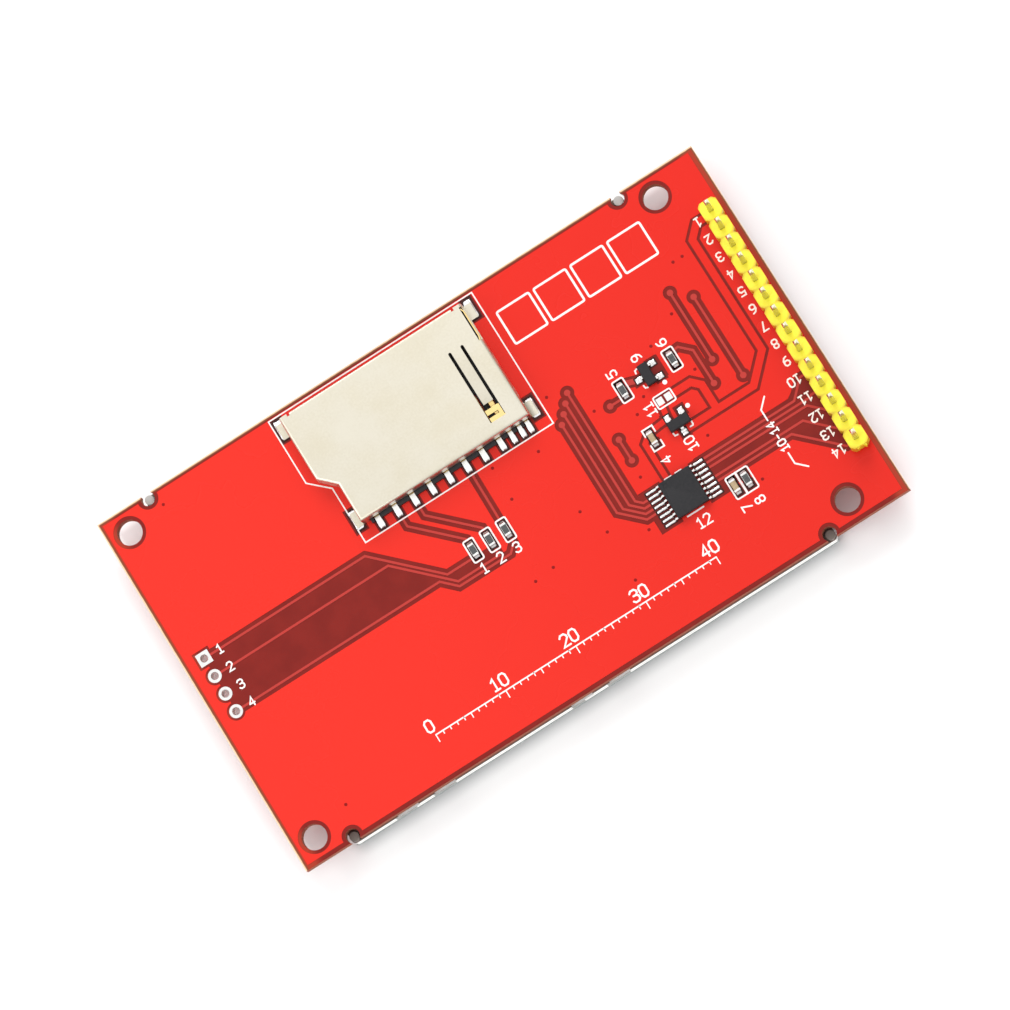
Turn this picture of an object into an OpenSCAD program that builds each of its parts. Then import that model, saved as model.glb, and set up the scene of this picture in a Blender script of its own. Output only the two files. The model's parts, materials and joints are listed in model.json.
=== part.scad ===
// Colour touch display module: a circuit board with a display and its touch panel on the
// front, and a memory card socket, a touch controller and a pin header on the back.
// It lies on the touch panel, with the component side up. Millimetres, +Z up. The origin
// is under the centre of the board, on the plane that the touch panel rests on.

/* [Board] */
// Length of the board, pad end to header end
board_l = 86; // [85:0.5:96]
// Width of the board
board_w = 50; // [49.5:0.5:56]
// Thickness of the bare laminate
laminate_t = 1.5; // [0.8:0.1:2]
// Thickness of a copper layer with its solder mask
copper_t = 0.05; // [0.03:0.01:0.08]
// How far the copper stays back from the pad end and the long edges
pour_back = 0.55; // [0.4:0.05:0.8]
// How far the copper stays back from the header end
pour_back_header = 0.8; // [0.4:0.05:1]
// Diameter of the mounting holes
hole_d = 3.2; // [2.5:0.1:3.4]
// Mounting hole spacing along the board
hole_span_x = 76; // [74:0.5:78]
// Mounting hole spacing across the board
hole_span_y = 44; // [42:0.5:44.5]
// Bare ring round a hole or notch, where the copper stops
hole_ring = 0.45; // [0.2:0.05:0.7]
// Centre of the hole pattern and of the display, from the board's centre
pattern_shift = -2; // [-3:0.5:-1]

/* [Tracks] */
// Width of a signal track
track_w = 0.3; // [0.2:0.05:0.4]
// Bare gap between a signal track and the copper round it
track_gap = 0.48; // [0.3:0.02:0.6]
// Width of a power track
power_w = 0.95; // [0.6:0.05:1.1]
// Width of the links between small parts
link_w = 0.7; // [0.4:0.05:0.8]
// Bare gap beside a power track
power_gap = 0.35; // [0.2:0.05:0.5]
// Bare gap round a contact pad
pad_gap = 0.3; // [0.2:0.05:0.4]
// Diameter of the round end of a track that passes through the board
via_d = 0.8; // [0.5:0.05:0.9]

/* [Header] */
// Number of header pins
header_count = 14; // [14:1:16]
// Distance from pin to pin
header_pitch = 2.54; // [2.4:0.02:2.6]
// Distance of the pins from the board's end
header_inset = 2.15; // [1.8:0.05:2.6]
// Width of the header plastic
header_w = 2.54; // [2.2:0.02:2.8]
// Height of the header plastic
header_h = 2.54; // [2:0.02:3]
// Chamfer on the corners of each header segment
header_chamfer = 0.42; // [0.2:0.02:0.6]
// Side of the square pins
pin_side = 0.64; // [0.5:0.02:0.7]
// Length of the pins above the board
pin_above = 7.5; // [6:0.1:12]
// Length of the pins below the component side
pin_below = 3; // [2.6:0.1:3.6]
// Length of the tapered tip of a pin
pin_taper = 0.5; // [0.2:0.05:0.8]
// Side of the flat end of a pin
pin_tip = 0.3; // [0.1:0.02:0.4]
// Clearance between a pin and the plastic
pin_fit = 0.01; // [0.005:0.005:0.03]
// Diameter of the plated holes, for pins and wires
drill_d = 1; // [0.94:0.02:1.1]
// Thickness of the plating in a hole
plating_t = 0.04; // [0.02:0.01:0.06]
// Diameter of the pads round the plated holes
ring_pad_d = 1.7; // [1.5:0.05:1.9]
// Height of the solder cones under the header
solder_cone_h = 0.95; // [0.6:0.05:1.1]
// Number of side pads for wires
side_pad_count = 4; // [2:1:4]
// Distance of the side pads from the board's end
side_pad_inset = 2.8; // [2.4:0.1:3.2]

/* [Card socket] */
// Width of the socket shell, along the board
socket_l = 26.2; // [25.9:0.1:28]
// Depth of the socket shell, from its mouth to its rear
socket_depth = 16.15; // [15:0.05:17]
// Height of the socket
socket_h = 2.9; // [2.8:0.05:3.4]
// Place of the socket shell's header-side wall
socket_x = 9.2; // [8.6:0.1:10]
// Distance of the socket mouth from the board's edge
mouth_inset = 1.7; // [1.5:0.05:1.9]
// Width of the step in the shell's far corner
socket_step = 2; // [1.5:0.1:2.2]
// Distance of the step from the shell's rear
step_from_rear = 5.3; // [4.8:0.1:5.6]
// Thickness of the shell's sheet metal
shell_t = 0.2; // [0.15:0.01:0.25]
// Outer radius of the shell's bends
bend_r = 0.45; // [0.35:0.05:0.6]
// Clearance between the shell and the moulded base
shell_fit = 0.05; // [0.03:0.01:0.08]
// Thickness of the base's floor
base_floor = 0.45; // [0.35:0.01:0.5]
// Width of the card slot
slot_w = 24.1; // [24:0.05:24.5]
// Chamfer of the card slot's inner corner
slot_chamfer = 5.3; // [5.2:0.1:5.6]
// Depth of the block that holds the contacts
contact_block = 1.75; // [1.5:0.05:2]
// Distance from contact to contact
contact_pitch = 2.5; // [2.3:0.02:2.55]
// Number of evenly spaced contacts
contact_count = 8; // [6:1:8]
// Place of the first contact
contact_x = -13.2; // [-13.6:0.1:-12.8]
// Width of a contact blade
blade_w = 0.7; // [0.6:0.05:0.8]
// Thickness of a contact blade
blade_t = 0.15; // [0.1:0.01:0.2]
// Running clearance beside a contact blade
blade_fit = 0.12; // [0.08:0.01:0.16]
// Reach of the contact tails behind the shell
tail_reach = 1.45; // [1.3:0.05:1.7]
// Reach of the base's ledge behind the shell, between the tails
ledge_reach = 0.5; // [0.4:0.05:0.6]
// Width of the spring tongue in the shell
tongue_w = 1.35; // [1:0.05:1.6]
// Length of the slots beside the tongue
tongue_l = 7.65; // [6:0.05:9]
// Width of the slots beside the tongue
tongue_slot = 0.4; // [0.3:0.05:0.5]
// Place of the tongue
tongue_x = 5.73; // [5:0.05:6]
// Length of the solder tabs
tab_l = 2; // [1.8:0.1:2.2]
// Length of the window over the write-lock leaf
lock_window_l = 4.8; // [4.4:0.1:5.2]
// Depth of the window over the write-lock leaf, from the shell's top
lock_window = 1.1; // [0.9:0.05:1.2]

/* [Chips] */
// Width of the touch controller's body, lead side to lead side
controller_w = 4.4; // [4.2:0.05:4.6]
// Length of the touch controller's body
controller_l = 5; // [4.9:0.05:5.2]
// Height of the touch controller's body
controller_h = 0.9; // [0.8:0.05:1.1]
// Toe-to-toe span of the touch controller's leads
controller_span = 6.4; // [6.2:0.05:6.8]
// Distance between the touch controller's leads
controller_pitch = 0.65; // [0.6:0.01:0.65]
// Number of leads on each side of the touch controller
controller_leads = 8; // [6:1:8]
// Length of the body of a small three-lead part
small_l = 2.9; // [2.8:0.05:3]
// Width of the body of a small three-lead part
small_w = 1.35; // [1.2:0.05:1.5]
// Height of the body of a small three-lead part
small_h = 0.95; // [0.8:0.05:1.1]
// Toe-to-toe span of a small three-lead part
small_span = 2.5; // [2.4:0.05:2.8]
// Distance between its two leads on one side
small_pitch = 1.9; // [1.8:0.05:2]
// Gap between a chip's body and the board
chip_lift = 0.08; // [0.05:0.01:0.12]
// Thickness of the chips' leads
lead_t = 0.13; // [0.1:0.01:0.16]
// Length of a chip resistor or capacitor
passive_l = 1.6; // [1.5:0.02:1.7]
// Width of a chip resistor or capacitor
passive_w = 0.8; // [0.7:0.02:0.85]
// Height of a chip resistor
resistor_h = 0.45; // [0.4:0.01:0.55]
// Height of a chip capacitor
capacitor_h = 0.75; // [0.6:0.01:0.85]
// Length of a resistor's or capacitor's end cap
cap_l = 0.27; // [0.25:0.01:0.4]
// Thickness of an end cap
cap_t = 0.04; // [0.03:0.01:0.06]

/* [Display] */
// Length of the display
display_l = 69.2; // [68:0.1:70]
// Thickness of the foam tape between the display and the board
tape_t = 0.5; // [0.4:0.05:0.8]
// Wall of the display's plastic frame
frame_wall = 0.8; // [0.6:0.05:1]
// Width of the ledge that the glass rests on
frame_ledge = 0.9; // [0.8:0.05:1.2]
// Clearance round the glass and the films in the frame
frame_fit = 0.15; // [0.1:0.01:0.2]
// Thickness of each of the two display glasses
glass_t = 0.5; // [0.4:0.05:0.6]
// Thickness of a polariser
polariser_t = 0.15; // [0.1:0.01:0.2]
// Thickness of a prism sheet
prism_t = 0.08; // [0.05:0.01:0.1]
// Thickness of the diffuser sheet, and of the strip that carries the lamps
diffuser_t = 0.1; // [0.08:0.01:0.15]
// Thickness of the light guide
guide_t = 0.64; // [0.5:0.02:0.8]
// Thickness of the reflector sheet
reflector_t = 0.1; // [0.05:0.01:0.15]
// Width of the lower glass's ledge for the driver chip
glass_ledge = 4.75; // [4.2:0.05:5.5]
// Number of lamps
lamp_count = 4; // [3:1:6]
// Length of a lamp
lamp_l = 3.8; // [3:0.1:4]
// Depth of a lamp
lamp_d = 1; // [0.8:0.05:1.1]
// Diameter of the locating pegs
peg_d = 1.2; // [1:0.05:1.3]
// Clearance round a peg in the board's notch
peg_fit = 0.3; // [0.2:0.05:0.4]
// Width of the notches for the film ears
ear_notch = 3; // [2.4:0.1:3.4]
// Distance of the display's flex from the display's long edges
flex_margin = 11; // [10.6:0.1:13]
// How far the display's flex reaches back in from the display's end
flex_tail_l = 8.6; // [6:0.1:12]
// Thickness of the display's flex
flex_t = 0.12; // [0.08:0.01:0.15]
// Number of contacts on the display's flex
flex_contacts = 18; // [12:1:20]

/* [Touch panel] */
// Thickness of the touch panel's glass
touch_glass_t = 0.8; // [0.7:0.05:1.1]
// Thickness of the touch panel's film
touch_film_t = 0.2; // [0.15:0.01:0.25]
// Thickness of the adhesive frame between film and glass
touch_spacer_t = 0.1; // [0.08:0.01:0.14]
// Thickness of the gasket between the touch panel and the display
gasket_t = 0.3; // [0.2:0.05:0.4]
// Width of the gasket and of the adhesive frame
gasket_w = 2; // [1.6:0.1:2.4]
// Width of the touch panel's flex
touch_flex_w = 5; // [4:0.5:5.5]
// Distance of the touch panel's flex, at its middle, from the display's edge
touch_flex_inset = 8; // [7.8:0.1:8.2]

/* [Hidden] */
$fn = 48;

// A length that takes a cut or an outline well past the parts
far = 100;

// Heights of the display stack, from the touch film up
z_spacer = touch_film_t;
z_touch_glass = z_spacer + touch_spacer_t;
z_gasket = z_touch_glass + touch_glass_t;
z_frame = z_gasket + gasket_t;
z_upper_glass = z_frame + polariser_t;
z_lower_glass = z_upper_glass + glass_t;
z_ledge = z_lower_glass + glass_t;
z_upper_prism = z_ledge + polariser_t;
z_lower_prism = z_upper_prism + prism_t;
z_diffuser = z_lower_prism + prism_t;
z_guide = z_diffuser + diffuser_t;
z_reflector = z_guide + guide_t;
z_tape = z_reflector + reflector_t;
z_board = z_tape + tape_t;
z_laminate = z_board + copper_t;
z_copper = z_laminate + laminate_t;
z_top = z_copper + copper_t;

// The display and the touch panel are as wide as the board
display_w = board_w;
flex_w = display_w - 2 * flex_margin;
touch_flex_y = display_w / 2 - touch_flex_inset;

// Layout of the small parts, from the centre of the board
controller_at = [19.85, -10.7];
regulator_at = [23.85, -3.15];
transistor_at = [23.7, 3.95];
jumper_at = [23.87, 0.35];
resistors_at = [[-5.4, -2.75], [-3.05, -2.75], [-0.78, -2.75], [20.15, 3.95], [27.25, 3.95],
    [27.1, -13.35]];
capacitors_at = [[20.1, -3], [25.45, -13.35]];
// Centres of the film ears, from the centre of the display
ears_at = [-26.8, -21.5, -1.9, 3.5];

// Places on the board
header_x = board_l / 2 - header_inset;
side_pad_x = -board_l / 2 + side_pad_inset;
function header_y(i) = ((header_count - 1) / 2 - i) * header_pitch;
function side_pad_y(i) = ((side_pad_count - 1) / 2 - i) * header_pitch;
function header_at(i) = [header_x, header_y(i)];
function side_pad_at(i) = [side_pad_x, side_pad_y(i)];
mount_holes = [for (sx = [-1, 1], sy = [-1, 1])
    [pattern_shift + sx * hole_span_x / 2, sy * hole_span_y / 2]];
peg_inset = peg_d / 2 + 0.03;
pegs_at = [for (sx = [-1, 1], sy = [-1, 1])
    [pattern_shift + sx * (display_l / 2 - peg_inset), sy * (display_w / 2 - peg_inset)]];
notch_d = peg_d + 2 * peg_fit;

// Places in the card socket
mouth_y = board_w / 2 - mouth_inset;
rear_y = mouth_y - socket_depth;
shell_x0 = socket_x - socket_l;
step_y = rear_y + step_from_rear;
function wall_x(side, y) = side > 0 ? socket_x : y > step_y ? shell_x0 : shell_x0 + socket_step;
plate_z = z_top + socket_h;
slot_x1 = socket_x - (socket_l - slot_w) / 2;
slot_x0 = slot_x1 - slot_w;
slot_y0 = rear_y + shell_t + shell_fit + contact_block;
floor_z = z_top + base_floor;
last_contact_gap = 1.6;
contact_xs = concat([for (i = [0:contact_count - 1]) contact_x + i * contact_pitch],
    [contact_x + (contact_count - 1) * contact_pitch + last_contact_gap]);
detect_x = contact_xs[contact_count] + 1.3;
lock_x = detect_x + 1.1;
tail_xs = concat(contact_xs, [detect_x, lock_x]);
tail_y0 = rear_y - tail_reach;
narrow_blade_w = 0.6;
function blade_w_at(x) = x > contact_xs[contact_count - 1] ? narrow_blade_w : blade_w;
// Where a blade starts to rise: the one beside the slot's chamfer stands further in
function rise_y(i) = slot_y0 + (i == 0 ? 2.4 : 0.6);
blade_reach = 3.6;
blade_rise = 0.5;
blade_room = 0.65;
tail_exit = 1;
exit_x0 = contact_x - 1;
exit_x1 = lock_x + 0.5;
ledge_gap = 0.15;
ledge_h = blade_room - 0.05;
lip_inset = 1.28;
lip_notch = 0.35;
tongue_tip_y = slot_y0 + 2;
tongue_free_l = 1.1;
window_y0 = slot_y0 - 0.45;
tongue_dip = 0.35;
latch_ys = [rear_y + 3.6, step_y + socket_step + 1.2];
latch_l = 1.6;
latch_h = 0.7;
latch_z = z_top + 0.9;
leaf_y = slot_y0 - 0.75;
leaf_z = plate_z - shell_t - 0.3 - blade_t;
lock_y1 = mouth_y - 0.4;
lock_y0 = lock_y1 - lock_window_l;
lock_h = lock_window * 0.6;
lock_z = plate_z - lock_window + 0.1;
lock_rail_x = socket_x - shell_t - bend_r;
tail_solder = 0.3;
tab_w = 0.95;
// Each tab: wall it grows from, direction it points, middle along the wall
tab_ys = [mouth_y - tab_l / 2, rear_y + tab_l / 2];
tab_pad_ys = [mouth_y - 0.7, rear_y + 1];
tabs = [for (s = [-1, 1], i = [0, 1]) [wall_x(s, tab_ys[i]), s, tab_ys[i], tab_pad_ys[i]]];

// Chips' details
controller_lead_w = 0.25;
small_lead_w = 0.42;
mould_draft = 0.07;

// Places in the display, from its centre
glass_x = display_l / 2 - frame_wall - frame_fit;
glass_y = display_w / 2 - frame_wall - frame_fit;
film_x = glass_x - frame_ledge;
film_y = glass_y - frame_ledge;
film_x0 = -film_x + lamp_d + 0.85;
frame_corner = 0.5;
ear_w = ear_notch - 0.6;
ear_y = display_w / 2 - 0.3;
lamp_pitch = 9.5;
polariser_back = 0.5;
driver_w = 1.2;
driver_l = 17;
driver_h = 0.3;
driver_gap = 1.2;
peg_h = tape_t + (laminate_t + 2 * copper_t) * 0.6;
flex_clear = 0.3;
flex_bond = 1.45;
flex_tail_x = -display_l / 2 + flex_tail_l;
panel_x = display_l / 2 - 0.1;
panel_y = display_w / 2 - 0.1;
touch_bond = 1.5;
touch_tail_x = -display_l / 2 + 2.1;

// Contact pads on the component side: centre and size
tail_pad_l = 1.65;
tail_pad_margin = 0.2;
function tail_pad(x) = [blade_w_at(x) + tail_pad_margin, tail_pad_l];
tab_pad = [1.25, 2.9];
controller_pad = [1.65, 0.4];
small_pad = [0.85, 1];
passive_pad = [0.92, 0.7];
jumper_pad = [0.85, 0.95];
jumper_gap = 0.3;
controller_pad_x = controller_span / 2 + 0.1;
small_pad_y = small_span / 2 - 0.02;
passive_pad_y = passive_l / 2 + 0.02;
small_leads = [[-1, 1], [1, 1], [0, -1]];
function lead_y(i) = controller_at[1]
    + ((controller_leads - 1) / 2 - i) * controller_pitch;
function turned(p) = [p[1], -p[0]];
function small_lead(l) = [l[0] * small_pitch / 2, l[1] * small_pad_y];
passives_at = concat(resistors_at, capacitors_at);
surface_pads = concat(
    [for (x = tail_xs) [[x, tail_y0 + tail_pad_l / 2 - tail_solder], tail_pad(x)]],
    [for (t = tabs) [[t[0] + t[1] * tab_pad[0] / 2, t[3]], tab_pad]],
    [for (s = [-1, 1], i = [0:controller_leads - 1])
        [[controller_at[0] + s * controller_pad_x, lead_y(i)], controller_pad]],
    [for (l = small_leads) [regulator_at + small_lead(l), small_pad]],
    [for (l = small_leads)
        [transistor_at + turned(small_lead(l)), [small_pad[1], small_pad[0]]]],
    [for (p = passives_at, s = [-1, 1]) [p + [0, s * passive_pad_y], passive_pad]],
    [for (s = [-1, 1])
        [jumper_at + [s * (jumper_pad[0] + jumper_gap) / 2, 0], jumper_pad]]);
through_pads = concat([for (i = [0:header_count - 1]) header_at(i)],
    [for (i = [0:side_pad_count - 1]) side_pad_at(i)]);

// Ribbons: a path given a width, with mitred corners
function unit(v) = v / norm(v);
function perp(v) = [-v[1], v[0]];
function reversed(list) = [for (i = [len(list) - 1:-1:0]) list[i]];
function edge(path, i) = unit(path[i + 1] - path[i]);
function mitre(a, b) = (a + b) / (1 + a * b);
function side_of(path, shift) = let (last = len(path) - 1)
    [for (i = [0:last]) path[i] + shift
        * mitre(perp(edge(path, max(i - 1, 0))), perp(edge(path, min(i, last - 1))))];
module ribbon(path, w)
    polygon(concat(side_of(path, w / 2), reversed(side_of(path, -w / 2))));

// Routes that turn by 45 degrees: along X to s, diagonally, then along X again; and in Y
function dogleg_x(a, b, s) = let (rise = abs(b[1] - a[1]), way = b[0] > a[0] ? 1 : -1)
    [a, [s, a[1]], [s + way * rise, b[1]], b];
function dogleg_y(a, b, s) = let (run = abs(b[0] - a[0]), way = b[1] > a[1] ? 1 : -1)
    [a, [a[0], s], [b[0], s + way * run], b];
function passive_end(p, s) = p + [0, s * passive_pad_y];
function tail_at(i) = [contact_xs[i], tail_y0 + 0.3];
function lead_at(s, i) = [controller_at[0] + s * controller_pad_x, lead_y(i)];
function small_at(c, l) = c + small_lead(l);
function jumper_end(s) = jumper_at + [s * (jumper_pad[0] + jumper_gap) / 2, 0];

// Signal tracks on the component side
wire_bend_y = controller_at[1] + 2.35;
bundle_pitch = 0.87;
bundle_x = controller_at[0] - 8.15;
signal_tracks = concat([
    dogleg_x(side_pad_at(0), passive_end(resistors_at[0], -1), -17),
    concat(dogleg_x(side_pad_at(1), [resistors_at[1][0], resistors_at[1][1] - 2.25], -15.2),
        [passive_end(resistors_at[1], -1)]),
    concat(dogleg_x(side_pad_at(3), resistors_at[2] + [-1, -2.85], -10.9),
        [resistors_at[2] + [0, -1.85], passive_end(resistors_at[2], -1)]),
    dogleg_y(tail_at(1), passive_end(resistors_at[0], 1), 4.1),
    dogleg_y(tail_at(2), passive_end(resistors_at[1], 1), 4.1),
    [tail_at(5), passive_end(resistors_at[2], 1)],
    dogleg_x(lead_at(1, 0), header_at(9), header_x - 3.9),
    dogleg_x(lead_at(1, 1), header_at(10), header_x - 2),
    dogleg_x(lead_at(1, 2), header_at(11), header_x - 2.9),
    dogleg_x(lead_at(1, 4), header_at(12), header_x - 4.3),
    dogleg_x(lead_at(1, 5), header_at(13), header_x - 6.3),
    [passive_end(resistors_at[4], 1), [28.6, 4.85], [29.95, 3.5], [29.95, -1.3]],
    [[31.3, 11], [31.3, 1.3]],
    [[33.45, 9], [33.45, -2.4]],
    [[16.6, -0.9], [16.6, -3.9]],
    [passive_end(resistors_at[3], -1), [17.85, passive_end(resistors_at[3], -1)[1]]]],
    [for (i = [0:3]) let (x = bundle_x + i * bundle_pitch, lead = lead_at(-1, 4 - i))
        [[x, 4.4 + i], [x, wire_bend_y], [x + wire_bend_y - lead[1], lead[1]], lead]]);
signal_ends = concat([[29.95, -1.3], [31.3, 11], [31.3, 1.3], [33.45, 9], [33.45, -2.4],
    [16.6, -0.9], [16.6, -3.9], [17.85, passive_end(resistors_at[3], -1)[1]]],
    [for (i = [0:3]) [bundle_x + i * bundle_pitch, 4.4 + i]]);

// Wide tracks on the component side: the supply, and the links between small parts
power_x = header_x - 3.85;
power_y = regulator_at[1] - 1.05;
feed_x = 28.6;
power_tracks = [
    [header_at(0), [power_x + 1.5, header_y(0)], [power_x, header_y(0) - 1.5],
        [power_x, power_y + 3.2], [power_x - 3.2, power_y],
        [regulator_at[0] + 0.2, power_y]],
    [[feed_x, power_y], [feed_x, jumper_at[1] - 1], [feed_x - 1, jumper_at[1]],
        jumper_end(1) + [0.2, 0]]];
link_tracks = [
    [jumper_end(-1), small_at(regulator_at, [-1, 1])],
    [small_at(regulator_at, [-1, 1]), passive_end(capacitors_at[0], 1)],
    [passive_end(capacitors_at[0], 1), [controller_at[0] - 0.85, capacitors_at[0][1] - 0.1],
        [controller_at[0] - 0.85, controller_at[1] + 2.9]],
    [passive_end(resistors_at[3], 1), transistor_at + turned(small_lead([0, -1]))]];

// Fields without copper: beside the side pads, and round the touch controller
bare_fields = [
    [side_pad_at(0), [-17, side_pad_y(0)], [-9.6, -3.45], resistors_at[0] - [0, 0.7],
        resistors_at[1] - [0, 0.7], resistors_at[1] - [0, 2.6], [-9.05, -5.6],
        [-10.9, side_pad_y(3)], side_pad_at(3)],
    [lead_at(1, 0) + [-1, 0.45], lead_at(1, 0) + [13, 0.45], [header_x - 2.2, header_y(9)],
        header_at(9), header_at(13), [header_x - 1.5, header_y(13)],
        [header_x - 6.2, controller_at[1] - 1.55], [24.75, controller_at[1] - 1.55],
        [24.75, controller_at[1] - 2.9], [22, controller_at[1] - 2.9]],
    [[14.95, lead_y(3)], [14.95, controller_at[1] - 2.9], [18, controller_at[1] - 2.9],
        [18, controller_at[1] + 2.85], [14.95, controller_at[1] + 2.85]],
    [transistor_at + [0.4, -1.4], transistor_at + [2.2, -1.4], transistor_at + [2.2, 1.6],
        transistor_at + [0.4, 1.6]]];

// Tracks on the display side, from the header towards the display's flex
front_tracks = [for (i = [2:8])
    dogleg_x(header_at(i), [pattern_shift, (5 - i) * bundle_pitch], header_x - 4.5)];

module track(path, w) {
    ribbon(path, w);
    for (p = [path[0], path[len(path) - 1]]) translate(p) circle(d = w);
}

module rect_pads(pads, grow = 0)
    for (p = pads) translate(p[0]) square(p[1] + 2 * [grow, grow], center = true);

module ring_pads(grow = 0) {
    for (p = through_pads) translate(p) circle(d = ring_pad_d + 2 * grow);
    translate(side_pad_at(0)) square(ring_pad_d + 2 * grow, center = true);
}

module board_cuts(grow = 0) {
    for (p = mount_holes) translate(p) circle(d = hole_d + 2 * grow);
    for (p = pegs_at) translate(p) circle(d = notch_d + 2 * grow);
}

module pour_outline()
    translate([-board_l / 2 + pour_back, -board_w / 2 + pour_back])
        square([board_l - pour_back - pour_back_header, board_w - 2 * pour_back]);

module circuit_board() color("tan") translate([0, 0, z_laminate])
    linear_extrude(laminate_t) difference() {
        square([board_l, board_w], center = true);
        board_cuts();
        for (p = through_pads) translate(p) circle(d = drill_d + 2 * plating_t);
    }

// What the tracks of a layer cover, wider by a gap on each side where a gap is given
module signal_layer(tracks, ends, gap = 0) {
    for (t = tracks) track(t, track_w + 2 * gap);
    for (p = ends) translate(p) circle(d = via_d + 2 * gap);
}

module power_layer(gap = 0) {
    for (t = power_tracks) track(t, power_w + 2 * gap);
    for (t = link_tracks) track(t, link_w + 2 * gap);
}

module copper_back() color("red") translate([0, 0, z_copper]) {
    linear_extrude(copper_t) difference() {
        pour_outline();
        board_cuts(hole_ring);
        signal_layer(signal_tracks, signal_ends, track_gap);
        power_layer(power_gap);
        for (f = bare_fields) polygon(f);
        rect_pads(surface_pads, pad_gap);
        ring_pads(pad_gap);
    }
    linear_extrude(copper_t) difference() {
        signal_layer(signal_tracks, signal_ends);
        rect_pads(surface_pads);
        ring_pads();
    }
    linear_extrude(copper_t) difference() {
        power_layer();
        rect_pads(surface_pads);
        ring_pads();
    }
}

module copper_front() color("red") translate([0, 0, z_board]) {
    linear_extrude(copper_t) difference() {
        pour_outline();
        board_cuts(hole_ring);
        signal_layer(front_tracks, [], track_gap);
        ring_pads(pad_gap);
    }
    linear_extrude(copper_t) difference() {
        signal_layer(front_tracks, []);
        ring_pads();
    }
}

module plated_hole(p, square_pad) translate([p[0], p[1], z_board]) difference() {
    union() {
        for (z = [0, laminate_t + copper_t]) translate([0, 0, z])
            if (square_pad)
                translate([-ring_pad_d / 2, -ring_pad_d / 2, 0])
                    cube([ring_pad_d, ring_pad_d, copper_t]);
            else
                cylinder(d = ring_pad_d, h = copper_t);
        cylinder(d = drill_d + 2 * plating_t, h = laminate_t + 2 * copper_t);
    }
    translate([0, 0, -1]) cylinder(d = drill_d, h = laminate_t + 2);
}

module contact_pads() color("silver") {
    for (p = surface_pads) translate([p[0][0], p[0][1], z_copper])
        linear_extrude(copper_t) square(p[1], center = true);
    for (p = through_pads) plated_hole(p, p == side_pad_at(0));
}

// Pin header
module segment_outline() {
    a = header_w / 2;
    b = header_pitch / 2;
    c = header_chamfer;
    polygon([[a, c - b], [a, b - c], [a - c, b], [c - a, b],
        [-a, b - c], [-a, c - b], [c - a, -b], [a - c, -b]]);
}

// The ragged stub where the strip was snapped off a longer one
module snapped_stub() translate([header_x, header_y(header_count - 1) - header_pitch / 2])
    polygon([[-0.75, 0.1], [-0.5, -0.14], [-0.25, -0.05], [0.1, 0.06], [0.4, -0.12],
        [0.6, -0.28], [0.78, 0.1]]);

module header_housing() color("yellow") difference() {
    union() {
        translate([0, 0, z_top]) linear_extrude(header_h)
            for (i = [0:header_count - 1]) translate(header_at(i)) segment_outline();
        translate([0, 0, z_top + header_h * 0.2]) linear_extrude(header_h * 0.7)
            snapped_stub();
    }
    for (i = [0:header_count - 1]) translate([header_x, header_y(i), z_top + header_h / 2])
        cube([pin_side + 2 * pin_fit, pin_side + 2 * pin_fit, header_h + 1], center = true);
}

module pin_profile() {
    a = pin_side / 2;
    b = pin_tip / 2;
    polygon([[-b, -pin_below], [b, -pin_below], [a, pin_taper - pin_below],
        [a, pin_above - pin_taper], [b, pin_above], [-b, pin_above],
        [-a, pin_above - pin_taper], [-a, pin_taper - pin_below]]);
}

module header_pins() color("silver")
    for (i = [0:header_count - 1]) translate([header_x, header_y(i), z_top])
        intersection_for (turn = [0, 90]) rotate([90, 0, turn])
            translate([0, 0, -pin_side / 2]) linear_extrude(pin_side) pin_profile();

module header_solder() color("silver")
    for (i = [0:header_count - 1]) translate([header_x, header_y(i), z_board])
        difference() {
            union() {
                translate([0, 0, -solder_cone_h])
                    cylinder(d1 = pin_side * 1.5, d2 = ring_pad_d, h = solder_cone_h);
                cylinder(d = drill_d, h = z_top - z_board);
            }
            translate([0, 0, laminate_t / 2])
                cube([pin_side, pin_side, laminate_t + 4], center = true);
        }

// Solder at the end of a lead or a tab: a wedge on the pad, sloping away from the lead
module solder_wedge(at, turn, w, l, h)
    translate([at[0], at[1], z_top]) rotate([90, 0, turn]) translate([0, 0, -w / 2])
        linear_extrude(w) polygon([[0, 0], [l, 0], [0, h]]);

module surface_solder() color("silver") {
    for (x = tail_xs) solder_wedge([x, tail_y0], -90, blade_w_at(x), tail_solder, blade_t);
    for (t = tabs)
        solder_wedge([t[0] + t[1] * tab_w, t[2]], t[1] > 0 ? 0 : 180, tab_l,
            tab_pad[0] - tab_w, shell_t);
    for (s = [0, 180], i = [0:controller_leads - 1])
        solder_wedge([controller_at[0] + cos(s) * controller_span / 2, lead_y(i)], s,
            controller_lead_w, controller_pad_x + (controller_pad[0] - controller_span) / 2,
            lead_t);
    for (l = small_leads) {
        toe = [l[0] * small_pitch / 2, l[1] * small_span / 2];
        reach = small_pad_y + (small_pad[1] - small_span) / 2;
        solder_wedge(regulator_at + toe, l[1] * 90, small_lead_w, reach, lead_t);
        solder_wedge(transistor_at + turned(toe), l[1] * 90 - 90, small_lead_w, reach, lead_t);
    }
    for (p = passives_at, s = [-1, 1])
        solder_wedge(p + [0, s * passive_l / 2], s * 90, passive_w,
            passive_pad_y + (passive_pad[1] - passive_l) / 2, resistor_h * 0.7);
}

// Card socket: folded sheet forms are met from bars with one rounded edge each
module arch(a, b, top, r) {
    translate([a, z_top - 1]) square([b - a, top - z_top + 1 - r]);
    translate([a + r, z_top - 1]) square([b - a - 2 * r, top - z_top + 1]);
    for (c = [a + r, b - r]) translate([c, top - r]) circle(r = r);
}

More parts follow.
